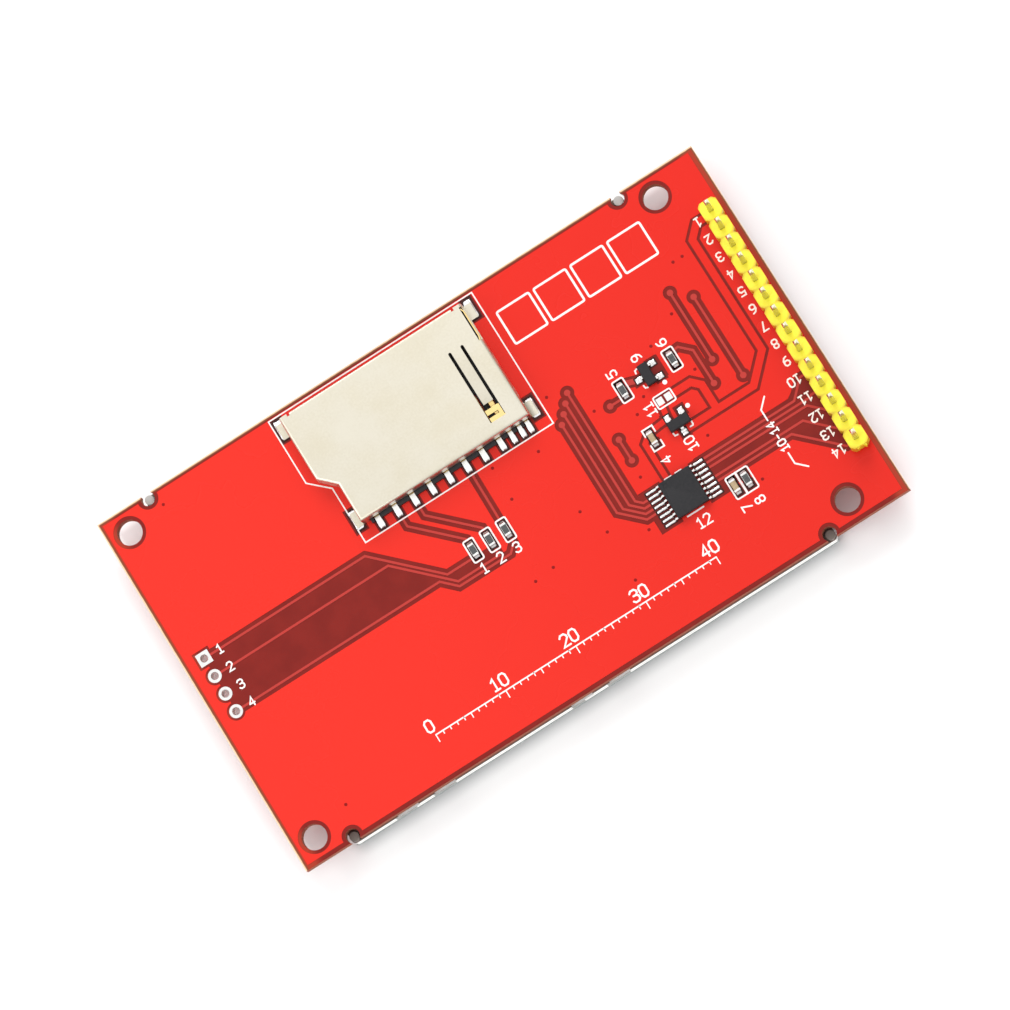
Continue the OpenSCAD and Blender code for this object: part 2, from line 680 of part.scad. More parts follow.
module fold_along_y(x0, x1, top, r)
    rotate([90, 0, 0]) translate([0, 0, -far]) linear_extrude(2 * far) arch(x0, x1, top, r);

module fold_along_x(y0, y1, top, r)
    rotate([90, 0, 90]) translate([0, 0, -far]) linear_extrude(2 * far) arch(y0, y1, top, r);

// The socket's block, set in from the shell's outer faces, with its step and round edges
module socket_form(inset, top, r)
    for (step = [0, socket_step]) intersection() {
        fold_along_y(shell_x0 + step + inset, socket_x - inset, top, r);
        fold_along_x(rear_y + inset, far, top, r);
        if (step == 0) translate([shell_x0 + socket_step, step_y, 0]) rotate([0, 0, 45])
            fold_along_y(inset, far, top, r);
    }

module block(x0, x1, y0, y1, z0, z1)
    translate([x0, y0, z0]) cube([x1 - x0, y1 - y0, z1 - z0]);

// The opening in the shell behind the tongue's tip, and the slots beside the tongue
module tongue_cut() translate([tongue_x, tongue_tip_y, plate_z - shell_t * 2])
    linear_extrude(shell_t * 4) {
        for (s = [-1, 1]) {
            translate([s * (tongue_w + tongue_slot) / 2 - tongue_slot / 2, 0])
                square([tongue_slot, tongue_l - tongue_slot / 2]);
            translate([s * (tongue_w + tongue_slot) / 2, tongue_l - tongue_slot / 2])
                circle(d = tongue_slot);
        }
        translate([-tongue_w / 2 - tongue_slot, window_y0 - tongue_tip_y])
            square([tongue_w + 2 * tongue_slot, tongue_tip_y - window_y0]);
        translate([-tongue_w / 2 - 0.01, 0]) square([tongue_w + 0.02, tongue_free_l]);
    }

// The free end of the tongue, bent down into the card slot
module tongue_end() translate([tongue_x - tongue_w / 2, tongue_tip_y, plate_z])
    rotate([90, 0, 90]) linear_extrude(tongue_w)
        ribbon([[0, -shell_t / 2 - tongue_dip], [tongue_free_l - 0.1, -shell_t / 2],
            [tongue_free_l + 0.1, -shell_t / 2]], shell_t);

module solder_tab(t) translate([t[0], t[2], z_top])
    rotate([90, 0, t[1] > 0 ? 0 : 180]) translate([0, 0, -tab_l / 2]) linear_extrude(tab_l)
        ribbon([[-shell_t / 2, 1], [-shell_t / 2, shell_t / 2], [tab_w, shell_t / 2]], shell_t);

module latch_windows() for (s = [-1, 1], y = latch_ys)
    block(wall_x(s, y) - 2 * shell_t, wall_x(s, y) + 2 * shell_t, y - latch_l / 2,
        y + latch_l / 2, latch_z, latch_z + latch_h);

// What the mouth's lip loses: its relief notches, and its upper edge's corner between them
module lip_cuts() {
    for (x = [shell_x0 + lip_inset, socket_x - lip_inset])
        block(x - lip_notch / 2, x + lip_notch / 2, mouth_y - lip_notch, far,
            plate_z - bend_r, far);
    difference() {
        block(shell_x0 + lip_inset, socket_x - lip_inset, mouth_y - shell_t, far,
            plate_z - shell_t, far);
        translate([shell_x0, mouth_y - shell_t, plate_z - shell_t]) rotate([0, 90, 0])
            cylinder(h = socket_l, r = shell_t);
    }
}

module card_socket_shell() color("lightgray") {
    difference() {
        intersection() {
            socket_form(0, plate_z, bend_r);
            block(shell_x0, socket_x, rear_y, mouth_y, z_top, plate_z);
        }
        socket_form(shell_t, plate_z - shell_t, bend_r - shell_t);
        block(exit_x0, exit_x1, rear_y - 1, rear_y + bend_r, z_top - 1, z_top + tail_exit);
        lip_cuts();
        tongue_cut();
        block(socket_x - bend_r, far, lock_y0, lock_y1, plate_z - lock_window, far);
        latch_windows();
    }
    tongue_end();
    for (t = tabs) solder_tab(t);
}

// Space for a contact blade: under the rear block, then right through the floor
module blade_groove(x, w, y1) {
    block(x - w / 2 - blade_fit, x + w / 2 + blade_fit, rear_y - 1, y1,
        z_top - 1, z_top + blade_room);
}

module card_socket_base() color([0.12, 0.12, 0.13]) difference() {
    union() {
        intersection() {
            socket_form(shell_t + shell_fit, plate_z - shell_t - shell_fit,
                bend_r - shell_t - shell_fit);
            block(shell_x0, socket_x, rear_y, mouth_y - shell_t, z_top, plate_z);
        }
        latch_hooks();
        block(exit_x0 + ledge_gap, exit_x1 - ledge_gap, rear_y - ledge_reach, rear_y + bend_r,
            z_top, z_top + ledge_h);
    }
    translate([0, 0, floor_z]) linear_extrude(far) polygon([[slot_x0, far], [slot_x1, far],
        [slot_x1, slot_y0], [slot_x0 + slot_chamfer, slot_y0],
        [slot_x0, slot_y0 + slot_chamfer]]);
    for (i = [0:contact_count])
        blade_groove(contact_xs[i], blade_w_at(contact_xs[i]), rise_y(i) + blade_reach);
    for (x = [detect_x, lock_x]) blade_groove(x, narrow_blade_w, slot_y0 - blade_fit);
    leaf_room();
}

// Hooks that hold the shell down, one in each latch window
module latch_hooks() for (s = [-1, 1], y = latch_ys) {
    face = wall_x(s, y) - s * (shell_t + shell_fit);
    reach = shell_fit + shell_t * 0.75;
    translate([face, y, latch_z + 0.1]) rotate([90, 0, s < 0 ? 180 : 0])
        translate([0, 0, 0.1 - latch_l / 2]) linear_extrude(latch_l - 0.2)
            polygon([[-0.2, 0], [reach, 0], [0, latch_h - 0.2], [-0.2, latch_h - 0.2]]);
}

module contact_blade(x, w, y) translate([x - w / 2, 0, z_top])
    rotate([90, 0, 90]) linear_extrude(w)
        ribbon([[tail_y0, blade_t / 2], [y, blade_t / 2],
            [y + blade_reach * 0.55, base_floor + blade_rise],
            [y + blade_reach * 0.7, base_floor + blade_rise],
            [y + blade_reach - 0.3, base_floor - blade_t]], blade_t);

module card_contacts() color("gold")
    for (i = [0:contact_count]) contact_blade(contact_xs[i], blade_w_at(contact_xs[i]), rise_y(i));

// A leaf's root: a tail on its pad and a strip that rises inside the rear block
module leaf_root(x, z1) {
    block(x - narrow_blade_w / 2, x + narrow_blade_w / 2, tail_y0, leaf_y + blade_t,
        z_top, z_top + blade_t);
    block(x - narrow_blade_w / 2, x + narrow_blade_w / 2, leaf_y, leaf_y + blade_t, z_top, z1);
}

module card_detect_leaf() color("gold") {
    x0 = tongue_x - tongue_w / 2 - tongue_slot + 0.08;
    x1 = tongue_x + tongue_w / 2 + tongue_slot - 0.08;
    leaf_root(detect_x, leaf_z + blade_t);
    block(x0, detect_x + narrow_blade_w / 2, leaf_y, slot_y0 - 0.15, leaf_z, leaf_z + blade_t);
    difference() {
        block(x0, x1, slot_y0 - 0.2, tongue_tip_y - 0.7, leaf_z, leaf_z + blade_t);
        block(x0 - 1, x1 - 0.5, slot_y0 + 0.25, slot_y0 + 0.6, leaf_z - 1, leaf_z + 1);
    }
}

module write_lock_leaf() color("gold") {
    leaf_root(lock_x, lock_z + lock_h);
    translate([0, 0, lock_z]) linear_extrude(lock_h)
        ribbon([[lock_x - 0.1, leaf_y + blade_t / 2], [lock_rail_x, leaf_y + blade_t / 2],
            [lock_rail_x, lock_y0 - 1], [socket_x - shell_t, lock_y0 + 0.6],
            [socket_x - shell_t, lock_y1 - 0.6], [lock_rail_x + 0.25, lock_y1 - 0.15]], blade_t);
}

// Room in the base for the two leaves
module leaf_room() {
    x0 = tongue_x - tongue_w / 2 - tongue_slot;
    g = blade_fit;
    block(x0 - g, detect_x + narrow_blade_w / 2 + g, leaf_y - g, far, leaf_z - g, far);
    for (x = [detect_x, lock_x])
        block(x - narrow_blade_w / 2 - g, x + narrow_blade_w / 2 + g, leaf_y - g,
            leaf_y + blade_t + g, z_top - 1, far);
    block(lock_x - narrow_blade_w / 2 - g, lock_rail_x + blade_t / 2 + g, leaf_y - g,
        leaf_y + blade_t + g, lock_z - g, far);
    block(lock_rail_x - blade_t / 2 - g, lock_rail_x + blade_t / 2 + g, leaf_y - g,
        lock_y0 - 1, lock_z - g, far);
    block(lock_rail_x - blade_t / 2 - g, far, lock_y0 - 1.6, far, lock_z - g, far);
}

// Chips
module drafted_profile(w, h) {
    a = w / 2;
    b = a - mould_draft;
    polygon([[-b, 0], [b, 0], [a, h * 0.45], [b, h], [-b, h], [-a, h * 0.45]]);
}

module moulded_body(x, y, h) translate([0, 0, z_top + chip_lift]) intersection() {
    rotate([90, 0, 0]) translate([0, 0, -y]) linear_extrude(2 * y) drafted_profile(x, h);
    rotate([90, 0, 90]) translate([0, 0, -x]) linear_extrude(2 * x) drafted_profile(y, h);
}

// A lead that leaves the body, steps down and lies on the pad, along +X
module gull_lead(body_w, body_h, span, w) translate([0, -w / 2, z_top])
    rotate([90, 0, 0]) mirror([0, 0, 1]) linear_extrude(w) {
        z = chip_lift + body_h * 0.45;
        drop = body_w / 2 + (span - body_w) * 0.15;
        ribbon([[body_w / 2, z], [drop, z], [drop + (span - body_w) * 0.1, lead_t / 2],
            [span / 2, lead_t / 2]], lead_t);
    }

module touch_controller_body() color([0.16, 0.16, 0.17]) difference() {
    translate([controller_at[0], controller_at[1], 0])
        moulded_body(controller_w, controller_l, controller_h);
    translate([controller_at[0] - controller_w / 2 + 0.75,
        controller_at[1] + controller_l / 2 - 0.75, z_top + chip_lift + controller_h - 0.05])
        cylinder(d = 0.6, h = 1);
}

module touch_controller_leads() color("silver")
    for (s = [0, 180], i = [0:controller_leads - 1])
        translate([controller_at[0], lead_y(i), 0]) rotate([0, 0, s])
            gull_lead(controller_w, controller_h, controller_span, controller_lead_w);

module small_part_body() moulded_body(small_l, small_w, small_h);

module small_part_leads() for (l = small_leads)
    translate([l[0] * small_pitch / 2, 0, 0]) rotate([0, 0, l[1] * 90])
        gull_lead(small_w, small_h, small_span, small_lead_w);

module regulator_body() color([0.16, 0.16, 0.17])
    translate([regulator_at[0], regulator_at[1], 0]) small_part_body();

module regulator_leads() color("silver")
    translate([regulator_at[0], regulator_at[1], 0]) small_part_leads();

module transistor_body() color([0.16, 0.16, 0.17])
    translate([transistor_at[0], transistor_at[1], 0]) rotate([0, 0, -90]) small_part_body();

module transistor_leads() color("silver")
    translate([transistor_at[0], transistor_at[1], 0]) rotate([0, 0, -90]) small_part_leads();

module centred_box(x, y, z0, z1) translate([-x / 2, -y / 2, z0]) cube([x, y, z1 - z0]);

module at_each(places) for (p = places) translate([p[0], p[1], z_top]) children();

module resistor_bodies() color("white") at_each(resistors_at)
    centred_box(passive_w, passive_l - 2 * cap_t, cap_t, resistor_h - cap_t);

module resistor_films() color([0.1, 0.1, 0.11]) at_each(resistors_at)
    centred_box(passive_w - 2 * cap_t, passive_l - 2 * cap_l, resistor_h - cap_t,
        resistor_h - cap_t / 4);

module resistor_caps() color("silver") at_each(resistors_at) difference() {
    for (s = [-1, 1]) translate([0, s * (passive_l - cap_l) / 2, 0])
        centred_box(passive_w, cap_l, 0, resistor_h);
    centred_box(far, passive_l - 2 * cap_t, cap_t, resistor_h - cap_t);
}

module capacitor_bodies() color("tan") at_each(capacitors_at)
    centred_box(passive_w - 2 * cap_t, passive_l - 2 * cap_t, cap_t, capacitor_h - cap_t);

module capacitor_caps() color("silver") at_each(capacitors_at) difference() {
    for (s = [-1, 1]) translate([0, s * (passive_l - cap_l) / 2, 0])
        centred_box(passive_w, cap_l, 0, capacitor_h);
    centred_box(passive_w - 2 * cap_t, passive_l - 2 * cap_t, cap_t, capacitor_h - cap_t);
}

// Display, about its own centre
module at_display(z) translate([pattern_shift, 0, z]) children();

module sheet(x0, x1, half_w, t) translate([x0, -half_w, 0]) cube([x1 - x0, 2 * half_w, t]);

module rounded_plate(l, w, r, t) linear_extrude(t) {
    square([l - 2 * r, w], center = true);
    square([l, w - 2 * r], center = true);
    for (x = [-1, 1], y = [-1, 1])
        translate([x * (l / 2 - r), y * (w / 2 - r)]) circle(r = r);
}

module foam_tape() color([0.2, 0.2, 0.21]) at_display(z_tape) {
    for (s = [-1, 1]) translate([-film_x + 2, s * (display_w / 2 - 4.75) - 3, 0])
        cube([2 * film_x - 2, 6, tape_t]);
    translate([film_x - 7, -(display_w / 2 - 8.5), 0])
        cube([7, display_w - 17, tape_t]);
}

module backlight_frame() color("white") {
    difference() {
        at_display(z_frame) rounded_plate(display_l, display_w, frame_corner, z_tape - z_frame);
        at_display(z_frame - 1) sheet(-glass_x - frame_fit, glass_x + frame_fit,
            glass_y + frame_fit, z_ledge - z_frame + 1);
        at_display(z_frame) sheet(-film_x - frame_fit, film_x + frame_fit,
            film_y + frame_fit, far);
        at_display(z_ledge) for (s = [-1, 1], x = ears_at)
            translate([x - ear_notch / 2, s > 0 ? 0 : -far, 0]) cube([ear_notch, far, far]);
        at_display(z_frame - 1) sheet(-far, -glass_x, flex_w / 2 + frame_fit,
            z_lower_glass + frame_fit - z_frame + 1);
    }
    for (p = pegs_at) translate([p[0], p[1], z_tape - frame_wall])
        cylinder(d = peg_d, h = frame_wall + peg_h);
}

// A film with ears that lie in the frame's notches
module eared_film(t) {
    sheet(film_x0, film_x, film_y, t);
    for (x = ears_at) translate([x - ear_w / 2, -ear_y, 0]) cube([ear_w, 2 * ear_y, t]);
}

module reflector_sheet() color("lightgray") at_display(z_reflector)
    sheet(-film_x, film_x, film_y, reflector_t);

module light_guide() color([0.85, 0.9, 0.95]) at_display(z_guide)
    sheet(-film_x + lamp_d + frame_fit, film_x, film_y, guide_t);

module lamp_strip() color("orange") at_display(z_diffuser)
    sheet(-film_x, film_x0 - frame_fit, lamp_pitch * lamp_count / 2, diffuser_t);

module backlight_lamps() color("ivory") at_display(z_guide)
    for (i = [0:lamp_count - 1]) translate([-film_x,
        (i - (lamp_count - 1) / 2) * lamp_pitch - lamp_l / 2, 0])
        cube([lamp_d, lamp_l, guide_t]);

module diffuser_sheet() color("white") at_display(z_diffuser) eared_film(diffuser_t);

module lower_prism_sheet() color("white") at_display(z_lower_prism) eared_film(prism_t);

module upper_prism_sheet() color("white") at_display(z_upper_prism) eared_film(prism_t);

module rear_polariser() color([0.2, 0.22, 0.25]) at_display(z_ledge)
    sheet(film_x0, film_x, film_y, polariser_t);

module lower_glass() color([0.5, 0.55, 0.58]) at_display(z_lower_glass)
    sheet(-glass_x, glass_x, glass_y, glass_t);

module upper_glass() color([0.5, 0.55, 0.58]) at_display(z_upper_glass)
    sheet(-glass_x + glass_ledge, glass_x, glass_y, glass_t);

module front_polariser() color([0.12, 0.13, 0.15]) at_display(z_frame)
    sheet(-glass_x + glass_ledge + polariser_back, glass_x - polariser_back,
        glass_y - polariser_back, polariser_t);

module driver_chip() color([0.25, 0.25, 0.27]) at_display(z_lower_glass - driver_h)
    sheet(-glass_x + glass_ledge - driver_gap - driver_w, -glass_x + glass_ledge - driver_gap,
        driver_l / 2, driver_h);

// A flex that leaves one face, turns half round past the display's end and comes back
module folded_flex(bond_x, low, high, tail_x, w, t) {
    turn_x = -display_l / 2 - flex_clear;
    r = (high + t - low) / 2;
    translate([0, w / 2, 0]) rotate([90, 0, 0]) linear_extrude(w) {
        translate([turn_x, low]) square([bond_x - turn_x, t]);
        translate([turn_x, high]) square([tail_x - turn_x, t]);
        translate([turn_x, low + r]) difference() {
            circle(r = r);
            circle(r = r - t);
            translate([0, -r - 1]) square([r + 1, 2 * r + 2]);
        }
    }
}

module display_flex() color("orange") at_display(0)
    folded_flex(-glass_x + flex_bond, z_lower_glass - flex_t, z_board - flex_t,
        flex_tail_x, flex_w, flex_t);

module flex_solder() color("silver") at_display(z_board - flex_t)
    for (i = [0:flex_contacts - 1])
        translate([flex_tail_x, ((i + 0.5) / flex_contacts - 0.5) * flex_w - 0.3, 0])
            cube([0.5, 0.6, flex_t]);

// Touch panel
module panel_ring(w, t) difference() {
    sheet(-panel_x, panel_x, panel_y, t);
    translate([0, 0, -1]) sheet(-panel_x + w, panel_x - w, panel_y - w, t + 2);
}

module touch_gasket() color([0.15, 0.15, 0.16]) at_display(z_gasket)
    panel_ring(gasket_w, gasket_t);

module touch_glass() color([0.75, 0.82, 0.86]) at_display(z_touch_glass)
    sheet(-panel_x, panel_x, panel_y, touch_glass_t);

module touch_spacer() color([0.3, 0.3, 0.32]) at_display(z_spacer) difference() {
    panel_ring(gasket_w, touch_spacer_t);
    translate([-far, touch_flex_y - touch_flex_w / 2 - frame_fit, -1])
        cube([far - panel_x + gasket_w + 1, touch_flex_w + 2 * frame_fit, 2]);
}

module touch_film() color([0.78, 0.82, 0.85]) at_display(0)
    sheet(-panel_x, panel_x, panel_y, touch_film_t);

module touch_flex() color("orange") translate([pattern_shift, touch_flex_y, 0])
    folded_flex(-panel_x + touch_bond, z_spacer, z_board - touch_spacer_t,
        touch_tail_x, touch_flex_w, touch_spacer_t);

circuit_board();
copper_back();
copper_front();
contact_pads();
header_housing();
header_pins();
header_solder();
surface_solder();
card_socket_shell();
card_socket_base();
card_contacts();
card_detect_leaf();
write_lock_leaf();
touch_controller_body();
touch_controller_leads();
regulator_body();
regulator_leads();
transistor_body();
transistor_leads();
resistor_bodies();
resistor_films();
resistor_caps();
capacitor_bodies();
capacitor_caps();
foam_tape();
backlight_frame();
reflector_sheet();
light_guide();
lamp_strip();
backlight_lamps();
diffuser_sheet();
lower_prism_sheet();
upper_prism_sheet();
rear_polariser();
lower_glass();
upper_glass();
front_polariser();
driver_chip();
display_flex();
flex_solder();
touch_gasket();
touch_glass();
touch_spacer();
touch_film();
touch_flex();
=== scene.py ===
"""Looks of a colour touch display module: finishes, white print, solder and studio.

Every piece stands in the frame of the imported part, in metres: +X towards the pin header,
+Y towards the card socket's mouth, +Z out of the component side. Sizes in this file are in
millimetres, and are turned into metres where a mesh is made.
"""

import json
import logging
import math
from collections.abc import Sequence
from dataclasses import dataclass, field
from enum import Enum

import bmesh
import bpy
import numpy as np
from mathutils import Matrix, Vector


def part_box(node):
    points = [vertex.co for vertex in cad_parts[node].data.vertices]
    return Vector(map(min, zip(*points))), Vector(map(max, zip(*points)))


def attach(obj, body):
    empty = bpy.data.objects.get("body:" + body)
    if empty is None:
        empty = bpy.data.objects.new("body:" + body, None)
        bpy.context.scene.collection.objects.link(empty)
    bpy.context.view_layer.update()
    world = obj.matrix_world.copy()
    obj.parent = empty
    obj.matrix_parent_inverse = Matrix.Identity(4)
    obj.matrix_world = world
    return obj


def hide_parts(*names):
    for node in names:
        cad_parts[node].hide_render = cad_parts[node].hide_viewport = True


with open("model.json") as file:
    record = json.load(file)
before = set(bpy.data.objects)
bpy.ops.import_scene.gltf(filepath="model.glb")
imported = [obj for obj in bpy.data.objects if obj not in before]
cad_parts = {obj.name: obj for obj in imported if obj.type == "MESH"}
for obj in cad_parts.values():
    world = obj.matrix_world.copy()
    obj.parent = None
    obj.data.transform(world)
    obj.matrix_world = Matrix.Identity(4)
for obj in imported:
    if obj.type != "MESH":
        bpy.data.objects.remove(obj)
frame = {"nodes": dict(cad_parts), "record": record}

LOG = logging.getLogger("display_module")
MM = 0.001
Colour = tuple[float, float, float]
Point = tuple[float, float]


def box_mm(node: str) -> tuple[np.ndarray, np.ndarray]:
    """Lowest and highest corner of a CAD node, in millimetres."""
    low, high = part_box(node)
    return np.array(low) / MM, np.array(high) / MM


def linked(name: str, data: bpy.types.ID) -> bpy.types.Object:
    """Makes an object of a mesh, a lamp or a camera, and links it to the scene.

    Args:
        name: the object's name.
        data: what it is made of.

    Returns:
        The object.
    """
    made = bpy.data.objects.new(name, data)
    bpy.context.scene.collection.objects.link(made)
    return made


def points_of(mesh: bpy.types.Mesh) -> np.ndarray:
    """The points of a mesh in metres.

    Args:
        mesh: the mesh.

    Returns:
        One row of three for each point.
    """
    points = np.zeros(len(mesh.vertices) * 3)
    mesh.vertices.foreach_get("co", points)
    return points.reshape(-1, 3)


# ---------------------------------------------------------------- shapes
class Lofted:
    """Collects closed surfaces lofted through rings of points, and makes one piece."""

    def __init__(self) -> None:
        """Starts with nothing in it."""
        self.points: list[np.ndarray] = []
        self.faces: list[list[int]] = []
        self.count = 0

    def loft(self, rings: np.ndarray, closed: bool = False) -> None:
        """Adds a skin through rings: quad (i, j) joins ring i's points j and j + 1 to ring i + 1's.

        Args:
            rings: points in millimetres, as ring, place on the ring, and axis.
            closed: whether the last ring joins the first; if not, both ends are capped.
        """
        n, k, _ = rings.shape
        i, j = np.meshgrid(np.arange(n if closed else n - 1), np.arange(k), indexing="ij")
        a, b = i * k + j, i * k + (j + 1) % k
        c, d = (i + 1) % n * k + (j + 1) % k, (i + 1) % n * k + j
        quads = np.stack([a, b, c, d], -1).reshape(-1, 4) + self.count
        self.faces += quads.tolist()
        if not closed:
            self.faces.append((np.arange(k)[::-1] + self.count).tolist())
            self.faces.append((np.arange(k) + (n - 1) * k + self.count).tolist())
        self.points.append(rings.reshape(-1, 3))
        self.count += n * k

    def piece(self, name: str, smooth_deg: float = 35.0) -> bpy.types.Object:
        """Makes the piece, with its faces turned outwards.

        Args:
            name: the piece's name.
            smooth_deg: edges flatter than this angle are shaded smooth.

        Returns:
            The new object, at the origin.
        """
        mesh = bpy.data.meshes.new(name)
        mesh.from_pydata((np.concatenate(self.points) * MM).tolist(), [], self.faces)
        return finished(name, mesh, smooth_deg)


def finished(name: str, mesh: bpy.types.Mesh, smooth_deg: float) -> bpy.types.Object:
    """Links a mesh as an object, with outward faces and soft shading over flat angles.

    Args:
        name: the object's name.
        mesh: its mesh, in metres.
        smooth_deg: edges flatter than this angle are shaded smooth.

    Returns:
        The object, at the origin.
    """
    work = bmesh.new()
    work.from_mesh(mesh)
    bmesh.ops.recalc_face_normals(work, faces=work.faces)
    work.to_mesh(mesh)
    work.free()
    mesh.shade_smooth()
    mesh.set_sharp_from_angle(angle=math.radians(smooth_deg))
    return linked(name, mesh)


def rectangle(x0: float, y0: float, x1: float, y1: float) -> np.ndarray:
    """Corners of a rectangle, anticlockwise from its lower left one."""
    return np.array([(x0, y0), (x1, y0), (x1, y1), (x0, y1)], float)


def rounded(path: np.ndarray, radius: float, steps: int = 4) -> np.ndarray:
    """Rounds the corners of a closed path: each corner becomes a quadratic curve.

    The curve runs from the point one radius before the corner to the one after it, at
    (1 - t)^2 a + 2 t (1 - t) corner + t^2 b.

    Args:
        path: the corners, in order.
        radius: how far from its corner a curve starts.
        steps: pieces of each curve.

    Returns:
        The rounded path.
    """
    before, after = np.roll(path, 1, 0), np.roll(path, -1, 0)
    a = path + radius * (before - path) / np.linalg.norm(before - path, axis=1)[:, None]
    b = path + radius * (after - path) / np.linalg.norm(after - path, axis=1)[:, None]
    t = np.linspace(0, 1, steps + 1)[None, :, None]
    curve = (1 - t) ** 2 * a[:, None] + 2 * t * (1 - t) * path[:, None] + t**2 * b[:, None]
    return curve.reshape(-1, 2)


def stroke(path: np.ndarray, width: float, z0: float, z1: float, closed: bool) -> np.ndarray:
    """Rings of a flat pen line with round ends, for Lofted.loft.

    Each ring is the line's cross-section. It stands on the mean direction m of the two edges
    that meet there, and is wider by 1 / cos(half the turn). An open line gets extra rings at
    its ends, moved out by r sin(a) and narrowed to r cos(a).

    Args:
        path: points of the pen, in millimetres.
        width: width of the line.
        z0: height of its underside.
        z1: height of its face.
        closed: whether the line returns to its start.

    Returns:
        Rings of four points each.
    """
    path = np.asarray(path, float)
    ahead = np.roll(path, -1, 0) - path
    if not closed:
        ahead[-1] = ahead[-2]
    ahead /= np.linalg.norm(ahead, axis=1)[:, None]
    behind = np.roll(ahead, 1, 0)
    if not closed:
        behind[0] = ahead[0]
    mean = ahead + behind
    mean /= np.linalg.norm(mean, axis=1)[:, None]
    wide = width / 2 / np.clip((mean * ahead).sum(1), 0.5, 1)
    side = np.stack([-mean[:, 1], mean[:, 0]], 1)
    if not closed:
        turn = np.radians([80, 50, 25])
        out = width / 2 * np.sin(turn)[:, None]
        narrow = width / 2 * np.cos(turn)
        path = np.concatenate([path[0] - out * ahead[0], path, path[-1] + out[::-1] * ahead[-1]])
        wide = np.concatenate([narrow, wide, narrow[::-1]])
        side = np.concatenate([side[[0] * 3], side, side[[-1] * 3]])
    left, right = path + side * wide[:, None], path - side * wide[:, None]
    flat = np.stack([left, right, right, left], 1)
    height = np.broadcast_to([z0, z0, z1, z1], flat.shape[:2])
    return np.concatenate([flat, height[..., None]], -1)


def turned_rings(centre: Point, profile: Sequence[Point], sides: int = 16) -> np.ndarray:
    """Rings of a turned shape: each (radius, height) of the profile goes round the centre.

    Args:
        centre: place of the axis.
        profile: radius and height, from one end to the other.
        sides: points on a ring.

    Returns:
        Rings for Lofted.loft.
    """
    angle = np.linspace(0, 2 * np.pi, sides, endpoint=False)
    radius, height = np.asarray(profile, float).T
    x = centre[0] + radius[:, None] * np.cos(angle)
    y = centre[1] + radius[:, None] * np.sin(angle)
    return np.stack([x, y, np.broadcast_to(height[:, None], x.shape)], -1)


def welded(node: str) -> bmesh.types.BMesh:
    """A copy of a CAD node with its loose triangles joined and its flat faces whole.

    Args:
        node: the CAD node's name.

    Returns:
        The copy, in metres.
    """
    work = bmesh.new()
    work.from_mesh(frame["nodes"][node].data)
    bmesh.ops.remove_doubles(work, verts=work.verts, dist=2e-6)
    bmesh.ops.dissolve_limit(
        work, angle_limit=math.radians(1), verts=work.verts, edges=work.edges
    )
    return work


def softened(node: str, name: str, width: float, smooth_deg: float = 35.0) -> bpy.types.Object:
    """A copy of a CAD node with its sharp edges rounded, which stands for the node.

    Args:
        node: the CAD node's name.
        name: the new piece's name.
        width: width of the rounding in millimetres, or 0 for soft shading only.
        smooth_deg: edges flatter than this angle are shaded smooth.

    Returns:
        The new piece.
    """
    mesh = bpy.data.meshes.new(name)
    work = welded(node)
    work.to_mesh(mesh)
    work.free()
    piece = finished(name, mesh, smooth_deg)
    if width:
        rounding = piece.modifiers.new("rounding", "BEVEL")
        rounding.width = width * MM
        rounding.segments = 2
        rounding.limit_method = "ANGLE"
        rounding.angle_limit = math.radians(40)
        rounding.use_clamp_overlap = True
    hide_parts(node)
    return piece


def island_labels(points: np.ndarray, edges: np.ndarray) -> np.ndarray:
    """Numbers the separate solids of a mesh, by handing the lowest number along each edge.

    Args:
        points: the mesh's points.
        edges: pairs of point indices.

    Returns:
        One number per point, the same for all points of a solid.
    """
    label = np.arange(len(points))
    while True:
        low = np.minimum(label[edges[:, 0]], label[edges[:, 1]])
        fresh = label.copy()
        np.minimum.at(fresh, edges[:, 0], low)
        np.minimum.at(fresh, edges[:, 1], low)
        fresh = fresh[fresh]
        if (fresh == label).all():
            return np.unique(label, return_inverse=True)[1]
        label = fresh


@dataclass(frozen=True)
class Island:
    """One separate solid of a CAD node, in millimetres."""

    low: np.ndarray
    high: np.ndarray
    crest: np.ndarray

    @property
    def centre(self) -> np.ndarray:
        """Middle of its box."""
        return (self.low + self.high) / 2

    @property
    def size(self) -> np.ndarray:
        """Size of its box."""
        return self.high - self.low


def islands(node: str) -> list[Island]:
    """The separate solids of a CAD node.

    Args:
        node: the CAD node's name.

    Returns:
        One Island each, with its box and the mean of its highest points.
    """
    work = welded(node)
    points = np.array([v.co for v in work.verts], float) / MM
    edges = np.array([[v.index for v in e.verts] for e in work.edges])
    work.free()
    label = island_labels(points, edges)
    found = []
    for i in range(label.max() + 1):
        own = points[label == i]
        top = own[own[:, 2] > own[:, 2].max() - 0.01]
        found.append(Island(own.min(0), own.max(0), top.mean(0)))
    return found


# ---------------------------------------------------------------- finishes
class Grain(Enum):
    """Which way the pattern of a finish is drawn out."""

    EVEN = (1.0, 1.0, 1.0)
    ALONG_Y = (1.0, 14.0, 1.0)
    ALONG_Z = (1.0, 1.0, 10.0)
    LAYERED = (9.0, 9.0, 1.0)


